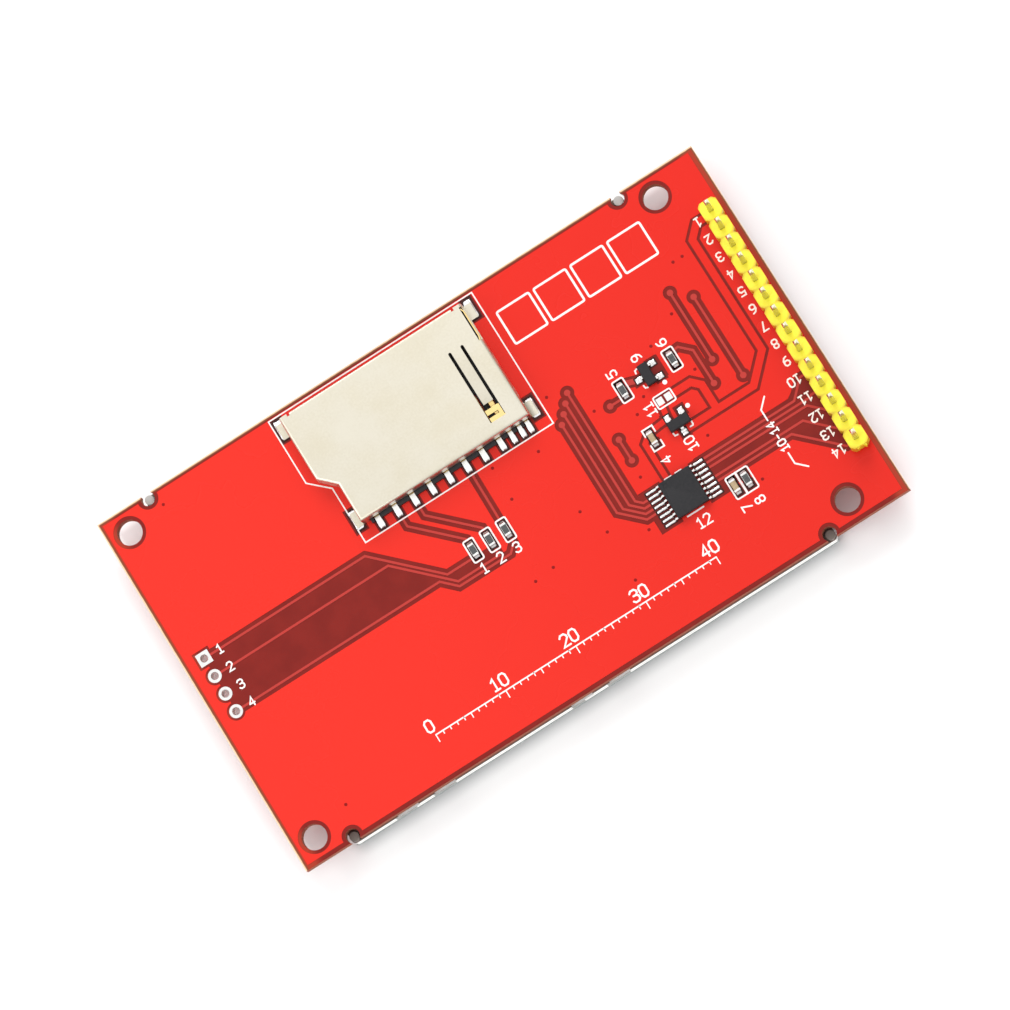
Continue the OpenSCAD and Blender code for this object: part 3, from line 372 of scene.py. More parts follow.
class Graph:
    """Node material under construction. Its patterns read Object coordinates."""

    def __init__(self, name: str) -> None:
        """Makes the material and its shader.

        Args:
            name: the material's name.
        """
        self.material = bpy.data.materials.new(name)
        self.material.use_nodes = True
        self.tree = self.material.node_tree
        self.shader = self.tree.nodes["Principled BSDF"]
        self.coordinates = self.tree.nodes.new("ShaderNodeTexCoord").outputs["Object"]

    def node(self, kind: str, inputs: dict, **settings: object) -> bpy.types.Node:
        """Adds a node.

        Args:
            kind: its type, without the ShaderNode prefix.
            inputs: value or socket for each input.
            **settings: its own properties.

        Returns:
            The node.
        """
        made = self.tree.nodes.new("ShaderNode" + kind)
        for key, value in settings.items():
            setattr(made, key, value)
        for key, value in inputs.items():
            if isinstance(value, bpy.types.NodeSocket):
                self.tree.links.new(value, made.inputs[key])
            else:
                made.inputs[key].default_value = value
        return made

    def maths(self, operation: str, a: object, b: object = 0.0) -> bpy.types.NodeSocket:
        """A sum on two numbers or sockets."""
        return self.node("Math", {0: a, 1: b}, operation=operation).outputs[0]

    def apart(self, a: object, b: object) -> bpy.types.NodeSocket:
        """How far a is from b, either way: |a - b|."""
        return self.maths("ABSOLUTE", self.maths("SUBTRACT", a, b))

    def level(self) -> bpy.types.NodeSocket:
        """How level a face lies: the size of its normal's Z, 0 upright and 1 level."""
        normal = self.node("NewGeometry", {}).outputs["Normal"]
        return self.maths("ABSOLUTE", self.node("SeparateXYZ", {0: normal}).outputs[2])

    def noise(
        self, size: float, grain: Grain = Grain.EVEN, detail: float = 3.0
    ) -> bpy.types.NodeSocket:
        """A cloudy pattern from 0 to 1.

        Args:
            size: size of its spots in millimetres.
            grain: which way it is drawn out.
            detail: how many finer layers it has.

        Returns:
            The pattern's value.
        """
        scale = tuple(1 / (MM * size * s) for s in grain.value)
        place = self.node("Mapping", {"Vector": self.coordinates, "Scale": scale})
        pattern = {"Vector": place.outputs[0], "Scale": 1.0, "Detail": detail}
        return self.node("TexNoise", pattern).outputs["Fac"]

    def spread(
        self, value: object, low: float, high: float, edge0: float = 0.3, edge1: float = 0.7
    ) -> bpy.types.NodeSocket:
        """Spreads a pattern from edge0..edge1 to low..high, and holds it beyond them.

        Args:
            value: the pattern.
            low: the result at edge0.
            high: the result at edge1.
            edge0: where the ramp starts.
            edge1: where it ends.

        Returns:
            The result, easy in and out: t^2 (3 - 2 t).
        """
        inputs = {
            "Value": value, "From Min": edge0, "From Max": edge1, "To Min": low, "To Max": high,
        }
        made = self.node("MapRange", inputs, interpolation_type="SMOOTHSTEP")
        return made.outputs["Result"]

    def blend(self, factor: object, a: object, b: object) -> bpy.types.NodeSocket:
        """Blends colour a to colour b.

        Args:
            factor: 0 for a, 1 for b.
            a: colour or socket.
            b: colour or socket.

        Returns:
            The blended colour.
        """
        made = self.node("Mix", {}, data_type="RGBA")
        for slot, value in ((0, factor), (6, a), (7, b)):
            if isinstance(value, bpy.types.NodeSocket):
                self.tree.links.new(value, made.inputs[slot])
            elif slot:
                made.inputs[slot].default_value = (*value, 1.0)
            else:
                made.inputs[slot].default_value = value
        return made.outputs[2]

    def axes(self) -> tuple[bpy.types.NodeSocket, ...]:
        """The place of a point.

        Returns:
            X, Y and Z in millimetres.
        """
        place = self.node("Mapping", {"Vector": self.coordinates, "Scale": (1000.0,) * 3})
        split = self.node("SeparateXYZ", {0: place.outputs[0]})
        return tuple(split.outputs)

    def bump(self, height: object, depth: float) -> None:
        """Gives the shader relief.

        Args:
            height: the pattern, from 0 to 1.
            depth: its depth in millimetres.
        """
        made = self.node("Bump", {"Height": height, "Distance": depth * MM, "Strength": 1.0})
        self.tree.links.new(made.outputs[0], self.shader.inputs["Normal"])

    def use(self, **values: object) -> bpy.types.Material:
        """Sets the shader's sockets, where a name's _ stands for a space.

        Args:
            **values: number, colour or socket for each.

        Returns:
            The finished material.
        """
        for key, value in values.items():
            socket = self.shader.inputs[key.replace("_", " ")]
            if isinstance(value, bpy.types.NodeSocket):
                self.tree.links.new(value, socket)
            elif isinstance(value, tuple):
                socket.default_value = (*value, 1.0)
            else:
                socket.default_value = value
        return self.material


@dataclass(frozen=True)
class Finish:
    """A finish of two close colours in a cloudy pattern, with a grain in its surface."""

    name: str
    colour: Colour
    shade: Colour
    spots: float = 2.0
    rough: tuple[float, float] = (0.35, 0.5)
    metal: float = 0.0
    grain: Grain = Grain.EVEN
    grain_size: float = 0.25
    grain_depth: float = 0.004
    specular: float = 0.5
    alpha: float = 1.0

    def material(self) -> bpy.types.Material:
        """The node material of this finish.

        Returns:
            The material.
        """
        g = Graph(self.name)
        cloud = g.noise(self.spots, self.grain)
        fine = g.noise(self.grain_size, self.grain, 2.0)
        g.bump(fine, self.grain_depth)
        both = g.maths("ADD", g.maths("MULTIPLY", cloud, 0.7), g.maths("MULTIPLY", fine, 0.3))
        return g.use(
            Base_Color=g.blend(g.spread(both, 0.0, 1.0), self.colour, self.shade),
            Roughness=g.spread(cloud, *self.rough),
            Metallic=self.metal,
            Specular_IOR_Level=self.specular,
            Alpha=self.alpha,
        )


@dataclass(frozen=True)
class SpringFinish:
    """Gold plating on a contact's spring, and tin on its tail."""

    tail_y: float
    gold: Colour = (0.93, 0.70, 0.30)
    tin: Colour = (0.90, 0.90, 0.88)

    def material(self) -> bpy.types.Material:
        """The node material: tin where Y is below the socket's rear.

        Returns:
            The material.
        """
        g = Graph("gold_spring_with_tinned_tail")
        _, y, _ = g.axes()
        plated = g.maths("GREATER_THAN", y, self.tail_y)
        cloud = g.noise(0.5)
        g.bump(g.noise(0.1, Grain.ALONG_Y), 0.002)
        return g.use(
            Base_Color=g.blend(plated, self.tin, self.gold),
            Roughness=g.spread(cloud, 0.16, 0.3),
            Metallic=1.0,
        )


@dataclass(frozen=True)
class LaminateFinish:
    """Glass-fibre laminate: lacquer on its flat faces, cut layers on its edges.

    A pale, ragged line runs along the rim of three sides, where the saw chipped the lacquer,
    with a brown line inside it. Both are narrower on the header's side. The lacquer lies redder
    near the two ends.
    """

    half_x: float
    half_y: float
    lacquer: Colour = (0.215, 0.0120, 0.0075)
    lacquer_shade: Colour = (0.185, 0.0095, 0.0060)
    lacquer_red: Colour = (0.36, 0.036, 0.015)
    brown: Colour = (0.20, 0.062, 0.026)
    chip_pale: Colour = (0.86, 0.58, 0.37)
    cut: Colour = (0.37, 0.120, 0.070)
    cut_shade: Colour = (0.29, 0.090, 0.052)
    chip_w: float = 0.17
    brown_w: float = 0.34
    header_chip_less: float = 0.1
    ragged: float = 0.08
    chip_fade: float = 0.08
    brown_fade: float = 0.12
    redder: tuple[float, float] = (1.2, 2.6)

    def material(self) -> bpy.types.Material:
        """The node material, by a point's distance from the nearest sawn side.

        Returns:
            The material.
        """
        g = Graph("laminate_with_lacquer")
        x, y, _ = g.axes()
        end = g.maths("SUBTRACT", self.half_x, g.maths("ABSOLUTE", x))
        header_end = g.maths("SUBTRACT", self.half_x + self.header_chip_less, x)
        near = g.maths("MINIMUM", header_end, g.maths("ADD", x, self.half_x))
        near = g.maths("MINIMUM", near, g.maths("SUBTRACT", self.half_y, y))
        torn = g.maths("MULTIPLY", g.noise(0.5, detail=4.0), self.ragged)
        inward = g.maths("ADD", near, torn)
        chipped = g.spread(inward, 1.0, 0.0, self.chip_w, self.chip_w + self.chip_fade)
        browned = g.spread(inward, 1.0, 0.0, self.brown_w, self.brown_w + self.brown_fade)
        flat = g.maths("GREATER_THAN", g.level(), 0.5)
        layers = g.noise(0.07, Grain.LAYERED)
        cut = g.blend(g.spread(layers, 0.0, 1.0, 0.4, 0.6), self.cut, self.cut_shade)
        lacquer = g.blend(g.spread(g.noise(3.0), 0.0, 1.0), self.lacquer, self.lacquer_shade)
        lacquer = g.blend(g.spread(end, 1.0, 0.0, *self.redder), lacquer, self.lacquer_red)
        rim = g.blend(chipped, g.blend(browned, lacquer, self.brown), self.chip_pale)
        g.bump(g.noise(0.3), 0.004)
        return g.use(
            Base_Color=g.blend(flat, cut, rim),
            Roughness=g.spread(flat, 0.85, 0.3, 0.0, 1.0),
            Specular_IOR_Level=0.18,
        )


@dataclass(frozen=True)
class LacquerFinish:
    """Glossy red lacquer over copper with painted shade, darker towards the header, duller over
    narrow tracks.
    """

    colour: Colour = (0.75, 0.0235, 0.0125)
    # shade is the lacquer's red under painted shade towards the header; the two lines below set
    # where that shade runs.
    shade: Colour = (0.68, 0.0165, 0.0080)
    track: Colour = (0.46, 0.038, 0.030)
    attribute: str = "narrow"
    drift_x: tuple[float, float] = (-36.0, 52.0)
    drift_cloud: float = 16.0

    def material(self) -> bpy.types.Material:
        """The node material, which reads how narrow the copper is from the mesh.

        Returns:
            The material.
        """
        g = Graph("lacquered_copper")
        narrow = g.node("Attribute", {}, attribute_name=self.attribute).outputs["Fac"]
        x, _, _ = g.axes()
        cloud = g.noise(9.0)
        clouded = g.maths("ADD", x, g.maths("MULTIPLY", cloud, self.drift_cloud))
        # Painted shade: the red darkens from the -X end towards the header.
        painted_shade = g.spread(clouded, 0.0, 1.0, *self.drift_x)
        red = g.blend(painted_shade, self.colour, self.shade)
        g.bump(g.noise(0.9, detail=1.0), 0.003)
        return g.use(
            Base_Color=g.blend(narrow, red, self.track),
            Roughness=g.spread(cloud, 0.24, 0.3),
            Specular_IOR_Level=0.2,
        )


@dataclass(frozen=True)
class FlexFinish:
    """Amber film over fine copper tracks that run along X."""

    pitch: float = 0.6
    film: Colour = (0.42, 0.15, 0.02)
    copper: Colour = (0.72, 0.33, 0.08)

    def material(self) -> bpy.types.Material:
        """The node material: stripes across Y, with a cloudy film over them.

        Returns:
            The material.
        """
        g = Graph("amber_flex")
        _, y, _ = g.axes()
        wave = g.maths("SINE", g.maths("MULTIPLY", y, 2 * math.pi / self.pitch))
        track = g.spread(wave, 0.0, 1.0, -0.15, 0.15)
        cloud = g.noise(2.5)
        amber = g.blend(track, self.film, self.copper)
        g.bump(track, 0.012)
        return g.use(
            Base_Color=g.blend(g.spread(cloud, 0.0, 0.35), amber, self.film),
            Roughness=g.spread(cloud, 0.28, 0.42),
            Coat_Weight=0.4,
        )


@dataclass(frozen=True)
class RimFinish:
    """White moulding of the display's frame, with a dark band round its upper rim that stands for a
    wrapping tape and painted shade.

    Its -Y side glows a little, apart from a few grey patches.
    """

    tape_z: float
    half_y: float
    white: Colour = (0.88, 0.87, 0.84)
    white_shade: Colour = (0.80, 0.80, 0.78)
    # Colour of the dark band: tape together with painted shade under the board's edge.
    tape: Colour = (0.115, 0.065, 0.045)
    peg: Colour = (0.52, 0.52, 0.50)
    peg_shaded: Colour = (0.16, 0.13, 0.11)
    peg_z: float = 4.0
    tape_ragged: float = 0.12
    side_depth: float = 0.02
    side_glow: float = 0.3
    patch: Colour = (0.42, 0.42, 0.40)
    patches: tuple[tuple[float, float], ...] = (
        (-30.7, -27.8), (-25.3, -22.2), (-5.5, -3.7), (-0.4, 2.8),
    )

    def material(self) -> bpy.types.Material:
        """The node material: dark tape and painted shade above a height, patches within their spans
        of X.

        Returns:
            The material.
        """
        g = Graph("white_frame_with_tape_and_shade")
        x, y, z = g.axes()
        # Painted shade: above a ragged height the white turns dark, as tape in shade.
        edge = g.maths("ADD", z, g.maths("MULTIPLY", g.noise(0.8), self.tape_ragged))
        tape_shade_band = g.maths("GREATER_THAN", edge, self.tape_z + self.tape_ragged / 2)
        outer = g.maths("LESS_THAN", y, self.side_depth - self.half_y)
        patched = 0.0
        for low, high in self.patches:
            here = g.maths("LESS_THAN", g.apart(x, (low + high) / 2), (high - low) / 2)
            patched = g.maths("MAXIMUM", patched, here)
        patched = g.maths("MULTIPLY", outer, patched)
        cloud = g.noise(3.0)
        white = g.blend(g.spread(cloud, 0.0, 1.0), self.white, self.white_shade)
        plain = g.blend(patched, white, self.patch)
        pegs = g.blend(g.maths("GREATER_THAN", y, 0.0), self.peg_shaded, self.peg)
        shell = g.blend(tape_shade_band, plain, self.tape)
        clean = g.maths("SUBTRACT", outer, patched)
        bright = g.maths("MULTIPLY", g.maths("SUBTRACT", 1.0, tape_shade_band), clean)
        g.bump(g.noise(0.25), 0.006)
        return g.use(
            Base_Color=g.blend(g.maths("GREATER_THAN", z, self.peg_z), shell, pegs),
            Roughness=g.spread(cloud, 0.35, 0.48),
            Emission_Color=self.white,
            Emission_Strength=g.spread(bright, 0.0, self.side_glow, 0.0, 1.0),
        )


@dataclass(frozen=True)
class PanelGlassFinish:
    """Clear touch panel glass or film with ground, milky edges."""

    name: str
    clear: Colour
    alpha: float
    ground: Colour = (0.52, 0.56, 0.55)

    def material(self) -> bpy.types.Material:
        """The node material: faces that stand upright are ground, the flat ones clear.

        Returns:
            The material.
        """
        g = Graph(self.name)
        edge = g.maths("LESS_THAN", g.level(), 0.5)
        cloud = g.noise(6.0)
        tint = g.blend(g.spread(cloud, 0.0, 0.25), self.clear, self.ground)
        g.bump(g.noise(1.5), 0.001)
        return g.use(
            Base_Color=g.blend(edge, tint, self.ground),
            Roughness=g.spread(edge, 0.06, 0.5, 0.0, 1.0),
            Alpha=g.spread(edge, self.alpha, 1.0, 0.0, 1.0),
        )


@dataclass(frozen=True)
class PinFinish:
    """Tinned square wire: its shank is painted yellow for the strip's reflection in it, its tip
    stays bright.
    """

    tip_z: float
    # The shank's colour is tin with a painted reflection of the yellow strip.
    shank: Colour = (0.60, 0.56, 0.27)
    tip: Colour = (0.82, 0.80, 0.60)
    tip_from: float = 0.55
    tip_full: float = 0.1

    def material(self) -> bpy.types.Material:
        """The node material: the tip starts a little below its top.

        Returns:
            The material.
        """
        g = Graph("tinned_pin_wire")
        _, _, z = g.axes()
        tip = g.spread(z, 0.0, 1.0, self.tip_z - self.tip_from, self.tip_z - self.tip_full)
        cloud = g.noise(0.5, Grain.ALONG_Z)
        g.bump(g.noise(0.1, Grain.ALONG_Z), 0.003)
        return g.use(
            Base_Color=g.blend(tip, self.shank, self.tip),
            Roughness=g.spread(cloud, 0.2, 0.34),
            Metallic=0.9,
        )


@dataclass(frozen=True)
class StripFinish:
    """Yellow moulding of the pin strip, with painted shade that darkens it towards the rim of each
    lump.
    """

    first_y: float
    middle_x: float
    pitch: float = 2.54
    colour: Colour = (1.0, 0.90, 0.045)
    shade: Colour = (0.94, 0.80, 0.03)
    # rim is the painted shade colour at each lump's rim; the two lines below set how much and from
    # which radius.
    rim: Colour = (0.62, 0.36, 0.012)
    rim_share: float = 0.8
    rim_r: tuple[float, float] = (1.1, 1.6)

    def material(self) -> bpy.types.Material:
        """The node material, by r: the distance in plan from the nearest pin's axis.

        Along the strip that distance is |y - first - pitch round((y - first) / pitch)|.

        Returns:
            The material.
        """
        g = Graph("yellow_moulding")
        x, y, _ = g.axes()
        steps = g.maths("DIVIDE", g.maths("SUBTRACT", y, self.first_y), self.pitch)
        along = g.maths("SUBTRACT", steps, g.maths("ROUND", steps))
        along = g.maths("ABSOLUTE", g.maths("MULTIPLY", along, self.pitch))
        across = g.maths("SUBTRACT", x, self.middle_x)
        r = g.maths("SQRT", g.maths(
            "ADD", g.maths("POWER", along, 2.0), g.maths("POWER", across, 2.0)
        ))
        cloud = g.noise(1.6)
        yellow = g.blend(g.spread(cloud, 0.0, 1.0), self.colour, self.shade)
        g.bump(g.noise(0.3), 0.008)
        return g.use(
            Base_Color=g.blend(g.spread(r, 0.0, self.rim_share, *self.rim_r), yellow, self.rim),
            Roughness=g.spread(cloud, 0.22, 0.34),
            Coat_Weight=0.15,
        )


@dataclass(frozen=True)
class ScreenFinish:
    """Dark glossy screen film: a near-black border round a grey-green viewing area."""

    centre_x: float
    half_x: float
    half_y: float
    border: Colour = (0.006, 0.006, 0.008)
    area: Colour = (0.035, 0.040, 0.043)
    area_shade: Colour = (0.028, 0.033, 0.038)
    blur: float = 0.04

    def material(self) -> bpy.types.Material:
        """The node material: inside is where both |X| and |Y| are short of the half sizes.

        Returns:
            The material.
        """
        g = Graph("screen_film")
        x, y, _ = g.axes()
        short_x = g.maths("SUBTRACT", self.half_x, g.apart(x, self.centre_x))
        short_y = g.maths("SUBTRACT", self.half_y, g.maths("ABSOLUTE", y))
        inside_x = g.spread(short_x, 0.0, 1.0, -self.blur, self.blur)
        inside_y = g.spread(short_y, 0.0, 1.0, -self.blur, self.blur)
        cloud = g.noise(14.0)
        area = g.blend(g.spread(cloud, 0.0, 1.0), self.area, self.area_shade)
        g.bump(g.noise(0.15), 0.0006)
        return g.use(
            Base_Color=g.blend(g.maths("MULTIPLY", inside_x, inside_y), self.border, area),
            Roughness=g.spread(cloud, 0.1, 0.16),
            Coat_Weight=0.3,
        )


SHEET_METAL = Finish(
    "nickel_plated_sheet", (0.70, 0.66, 0.555), (0.615, 0.57, 0.455), 5.0, (0.30, 0.40),
    metal=1.0, grain_size=0.3, grain_depth=0.0012,
)
TINNED = Finish(
    "bright_tin", (0.86, 0.86, 0.84), (0.72, 0.72, 0.71), 0.5, (0.16, 0.34),
    metal=1.0, grain_size=0.12, grain_depth=0.004,
)
SOLDER = Finish(
    "solder", (0.90, 0.90, 0.90), (0.74, 0.745, 0.75), 0.35, (0.14, 0.3),
    metal=1.0, grain_size=0.2, grain_depth=0.014,
)
SOCKET_BLACK = Finish(
    "black_moulding", (0.016, 0.016, 0.018), (0.026, 0.026, 0.028), 1.0, (0.5, 0.65),
    grain_size=0.12, grain_depth=0.006,
)
CHIP = Finish(
    "chip_moulding", (0.014, 0.014, 0.016), (0.025, 0.024, 0.026), 0.35, (0.5, 0.68),
    grain_size=0.09, grain_depth=0.008, specular=0.25,
)
ALUMINA = Finish(
    "white_alumina", (0.80, 0.80, 0.77), (0.70, 0.70, 0.67), 0.5, (0.35, 0.5), grain_depth=0.006,
)
OVERGLAZE = Finish(
    "resistor_overglaze", (0.050, 0.055, 0.058), (0.075, 0.080, 0.080), 0.25, (0.2, 0.35),
    grain_size=0.15, grain_depth=0.006,
)
CERAMIC_TAN = Finish(
    "tan_ceramic", (0.44, 0.33, 0.19), (0.36, 0.26, 0.145), 0.3, (0.45, 0.6), grain_depth=0.006,
)
FOAM = Finish(
    "black_foam", (0.018, 0.018, 0.020), (0.035, 0.035, 0.038), 0.3, (0.85, 0.95),
    grain_size=0.14, grain_depth=0.05,
)
REFLECTOR = Finish(
    "silvery_film", (0.80, 0.81, 0.82), (0.72, 0.73, 0.75), 8.0, (0.18, 0.3), metal=0.7,
    grain_depth=0.002,
)
CLEAR_GUIDE = Finish(
    "clear_acrylic", (0.86, 0.92, 0.94), (0.80, 0.88, 0.92), 6.0, (0.06, 0.12),
    grain_size=0.6, grain_depth=0.002, alpha=0.45,
)
MILKY = Finish(
    "milky_film", (0.88, 0.89, 0.88), (0.82, 0.83, 0.83), 4.0, (0.4, 0.55), grain_depth=0.003,
)
PRISM = Finish(
    "prism_film", (0.74, 0.77, 0.79), (0.62, 0.66, 0.70), 1.2, (0.2, 0.35),
    grain=Grain.ALONG_Y, grain_size=0.05, grain_depth=0.004, alpha=0.8,
)
DARK_FILM = Finish(
    "rear_polariser_film", (0.020, 0.022, 0.026), (0.028, 0.031, 0.036), 8.0, (0.12, 0.2),
    grain_depth=0.001,
)
DISPLAY_GLASS = Finish(
    "display_glass", (0.26, 0.32, 0.34), (0.20, 0.26, 0.29), 10.0, (0.05, 0.1),
    grain_size=1.0, grain_depth=0.001, alpha=0.75,
)
SILICON = Finish(
    "driver_silicon", (0.05, 0.052, 0.062), (0.08, 0.082, 0.095), 1.5, (0.12, 0.2),
    grain=Grain.ALONG_Y, grain_size=0.1, grain_depth=0.002,
)
LAMP = Finish(
    "lamp_moulding", (0.88, 0.86, 0.60), (0.90, 0.84, 0.42), 0.8, (0.3, 0.45), grain_depth=0.004,
)
BLACK_TAPE = Finish(
    "black_adhesive", (0.012, 0.012, 0.014), (0.022, 0.022, 0.024), 1.5, (0.4, 0.6),
    grain_size=0.3, grain_depth=0.006,
)
SILVER_INK = Finish(
    "printed_silver", (0.62, 0.62, 0.60), (0.50, 0.50, 0.49), 0.4, (0.4, 0.55), metal=0.6,
    grain_depth=0.003,
)
WHITE_INK = Finish(
    "white_print", (0.93, 0.87, 0.85), (0.86, 0.78, 0.76), 0.3, (0.5, 0.65),
    grain_size=0.12, grain_depth=0.004, specular=0.3,
)
# Dark flux residue together with painted shade, round pads and under small parts.
FLUX_AND_SHADE = Finish(
    "dark_flux_and_painted_shade", (0.050, 0.010, 0.008), (0.024, 0.007, 0.006), 0.5, (0.25, 0.5),
    grain_depth=0.002, specular=0.2,
)
VIA_LACQUER = Finish(
    "lacquer_in_a_dimple", (0.30, 0.006, 0.005), (0.20, 0.005, 0.004), 0.2, (0.25, 0.35),
    grain_depth=0.002, specular=0.15,
)


class Dresser:
    """Gives CAD nodes and new pieces their finishes, and says what each piece is."""

    def __init__(self) -> None:
        """Reads which slot each CAD node has in the record."""
        self.slots = {s["node"]: s["material_slot"] for s in frame["record"]["subparts"]}
        self.made: dict[str, bpy.types.Material] = {}

    def _material(self, finish: object) -> bpy.types.Material:
        """The material of a finish, made once.

        Args:
            finish: a finish with a material method.

        Returns:
            Its material.
        """
        key = repr(finish)
        if key not in self.made:
            self.made[key] = finish.material()
        return self.made[key]

    def node(self, name: str, finish: object) -> None:
        """Dresses a CAD node that stays on show.

        Args:
            name: the node's name.
            finish: its finish.
        """
        mesh = frame["nodes"][name].data
        mesh.materials.clear()
        mesh.materials.append(self._material(finish))
        LOG.info("dressed %s", name)

    def piece(self, piece: bpy.types.Object, finish: object, slot: str) -> None:
        """Dresses a new piece and makes it ride on the one body.

        Args:
            piece: the new piece.
            finish: its finish.
            slot: not used.
        """
        piece.data.materials.clear()
        piece.data.materials.append(self._material(finish))
        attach(piece, "root")
        LOG.info("made %s, %d faces", piece.name, len(piece.data.polygons))

    def soft_copy(self, node: str, finish: object, width: float, smooth_deg: float = 35.0) -> None:
        """Puts a rounded, dressed copy in a CAD node's place."""
        piece = softened(node, node + "_rounded", width, smooth_deg)
        self.piece(piece, finish, self.slots[node])


# ---------------------------------------------------------------- white print
# Strokes of each plain sign on a height of 1: whether the stroke is closed, and its points.
DIGITS: dict[str, list[tuple[bool, list[Point]]]] = {
    "0": [(True, [
        (0, 0.2), (0.15, 0), (0.45, 0), (0.6, 0.2), (0.6, 0.8), (0.45, 1), (0.15, 1), (0, 0.8),
    ])],
    "1": [(False, [(0.1, 0.8), (0.32, 1), (0.32, 0)]), (False, [(0.1, 0), (0.54, 0)])],
    "2": [(False, [(0, 0.82), (0.15, 1), (0.45, 1), (0.6, 0.82), (0.6, 0.62), (0, 0), (0.6, 0)])],
    "3": [
        (False, [
            (0, 0.85), (0.15, 1), (0.45, 1), (0.6, 0.85), (0.6, 0.66), (0.45, 0.53), (0.2, 0.53),
        ]),
        (False, [(0.45, 0.53), (0.6, 0.38), (0.6, 0.15), (0.45, 0), (0.15, 0), (0, 0.15)]),
    ],
    "4": [(False, [(0.45, 0), (0.45, 1), (0, 0.3)]), (False, [(0, 0.3), (0.6, 0.3)])],
    "5": [
        (False, [(0.6, 1), (0.05, 1), (0, 0.57), (0.42, 0.6), (0.6, 0.42)]),
        (False, [(0.6, 0.42), (0.6, 0.15), (0.45, 0), (0.12, 0), (0, 0.12)]),
    ],
    "6": [
        (False, [(0.5, 1), (0.2, 0.9), (0, 0.6), (0, 0.16), (0.15, 0), (0.45, 0), (0.6, 0.16)]),
        (False, [(0.6, 0.16), (0.6, 0.38), (0.45, 0.55), (0.15, 0.55), (0, 0.4)]),
    ],
    "7": [(False, [(0, 1), (0.6, 1), (0.2, 0)])],
    "8": [
        (True, [
            (0.15, 0.54), (0.03, 0.68), (0.03, 0.86), (0.16, 1),
            (0.44, 1), (0.57, 0.86), (0.57, 0.68), (0.45, 0.54),
        ]),
        (True, [
            (0.15, 0.52), (0, 0.38), (0, 0.15), (0.15, 0),
            (0.45, 0), (0.6, 0.15), (0.6, 0.38), (0.45, 0.52),
        ]),
    ],
    "9": [
        (False, [(0.1, 0), (0.4, 0.1), (0.6, 0.4), (0.6, 0.84), (0.45, 1), (0.15, 1), (0, 0.84)]),
        (False, [(0, 0.84), (0, 0.62), (0.15, 0.45), (0.45, 0.45), (0.6, 0.6)]),
    ],
    "-": [(False, [(0.08, 0.5), (0.52, 0.5)])],
}

# Plain numbers beside the small parts: text, start, height and direction in degrees.
PART_NUMBERS: tuple[tuple[str, float, float, float, float], ...] = (
    ("1", -5.8, -5.95, 1.25, 0), ("2", -3.4, -5.95, 1.25, 0), ("3", -1.1, -5.95, 1.25, 0),
    ("5", 20.65, 6.0, 1.2, 90), ("9", 24.25, 6.1, 1.2, 90), ("6", 27.75, 6.0, 1.2, 90),
    ("11", 22.3, -0.7, 1.15, 90), ("4", 20.75, -6.5, 1.2, 90), ("10", 24.35, -6.9, 1.2, 90),
    ("12", 19.2, -15.5, 1.25, 0), ("7", 25.95, -16.7, 1.2, 90), ("8", 27.75, -16.7, 1.2, 90),
)


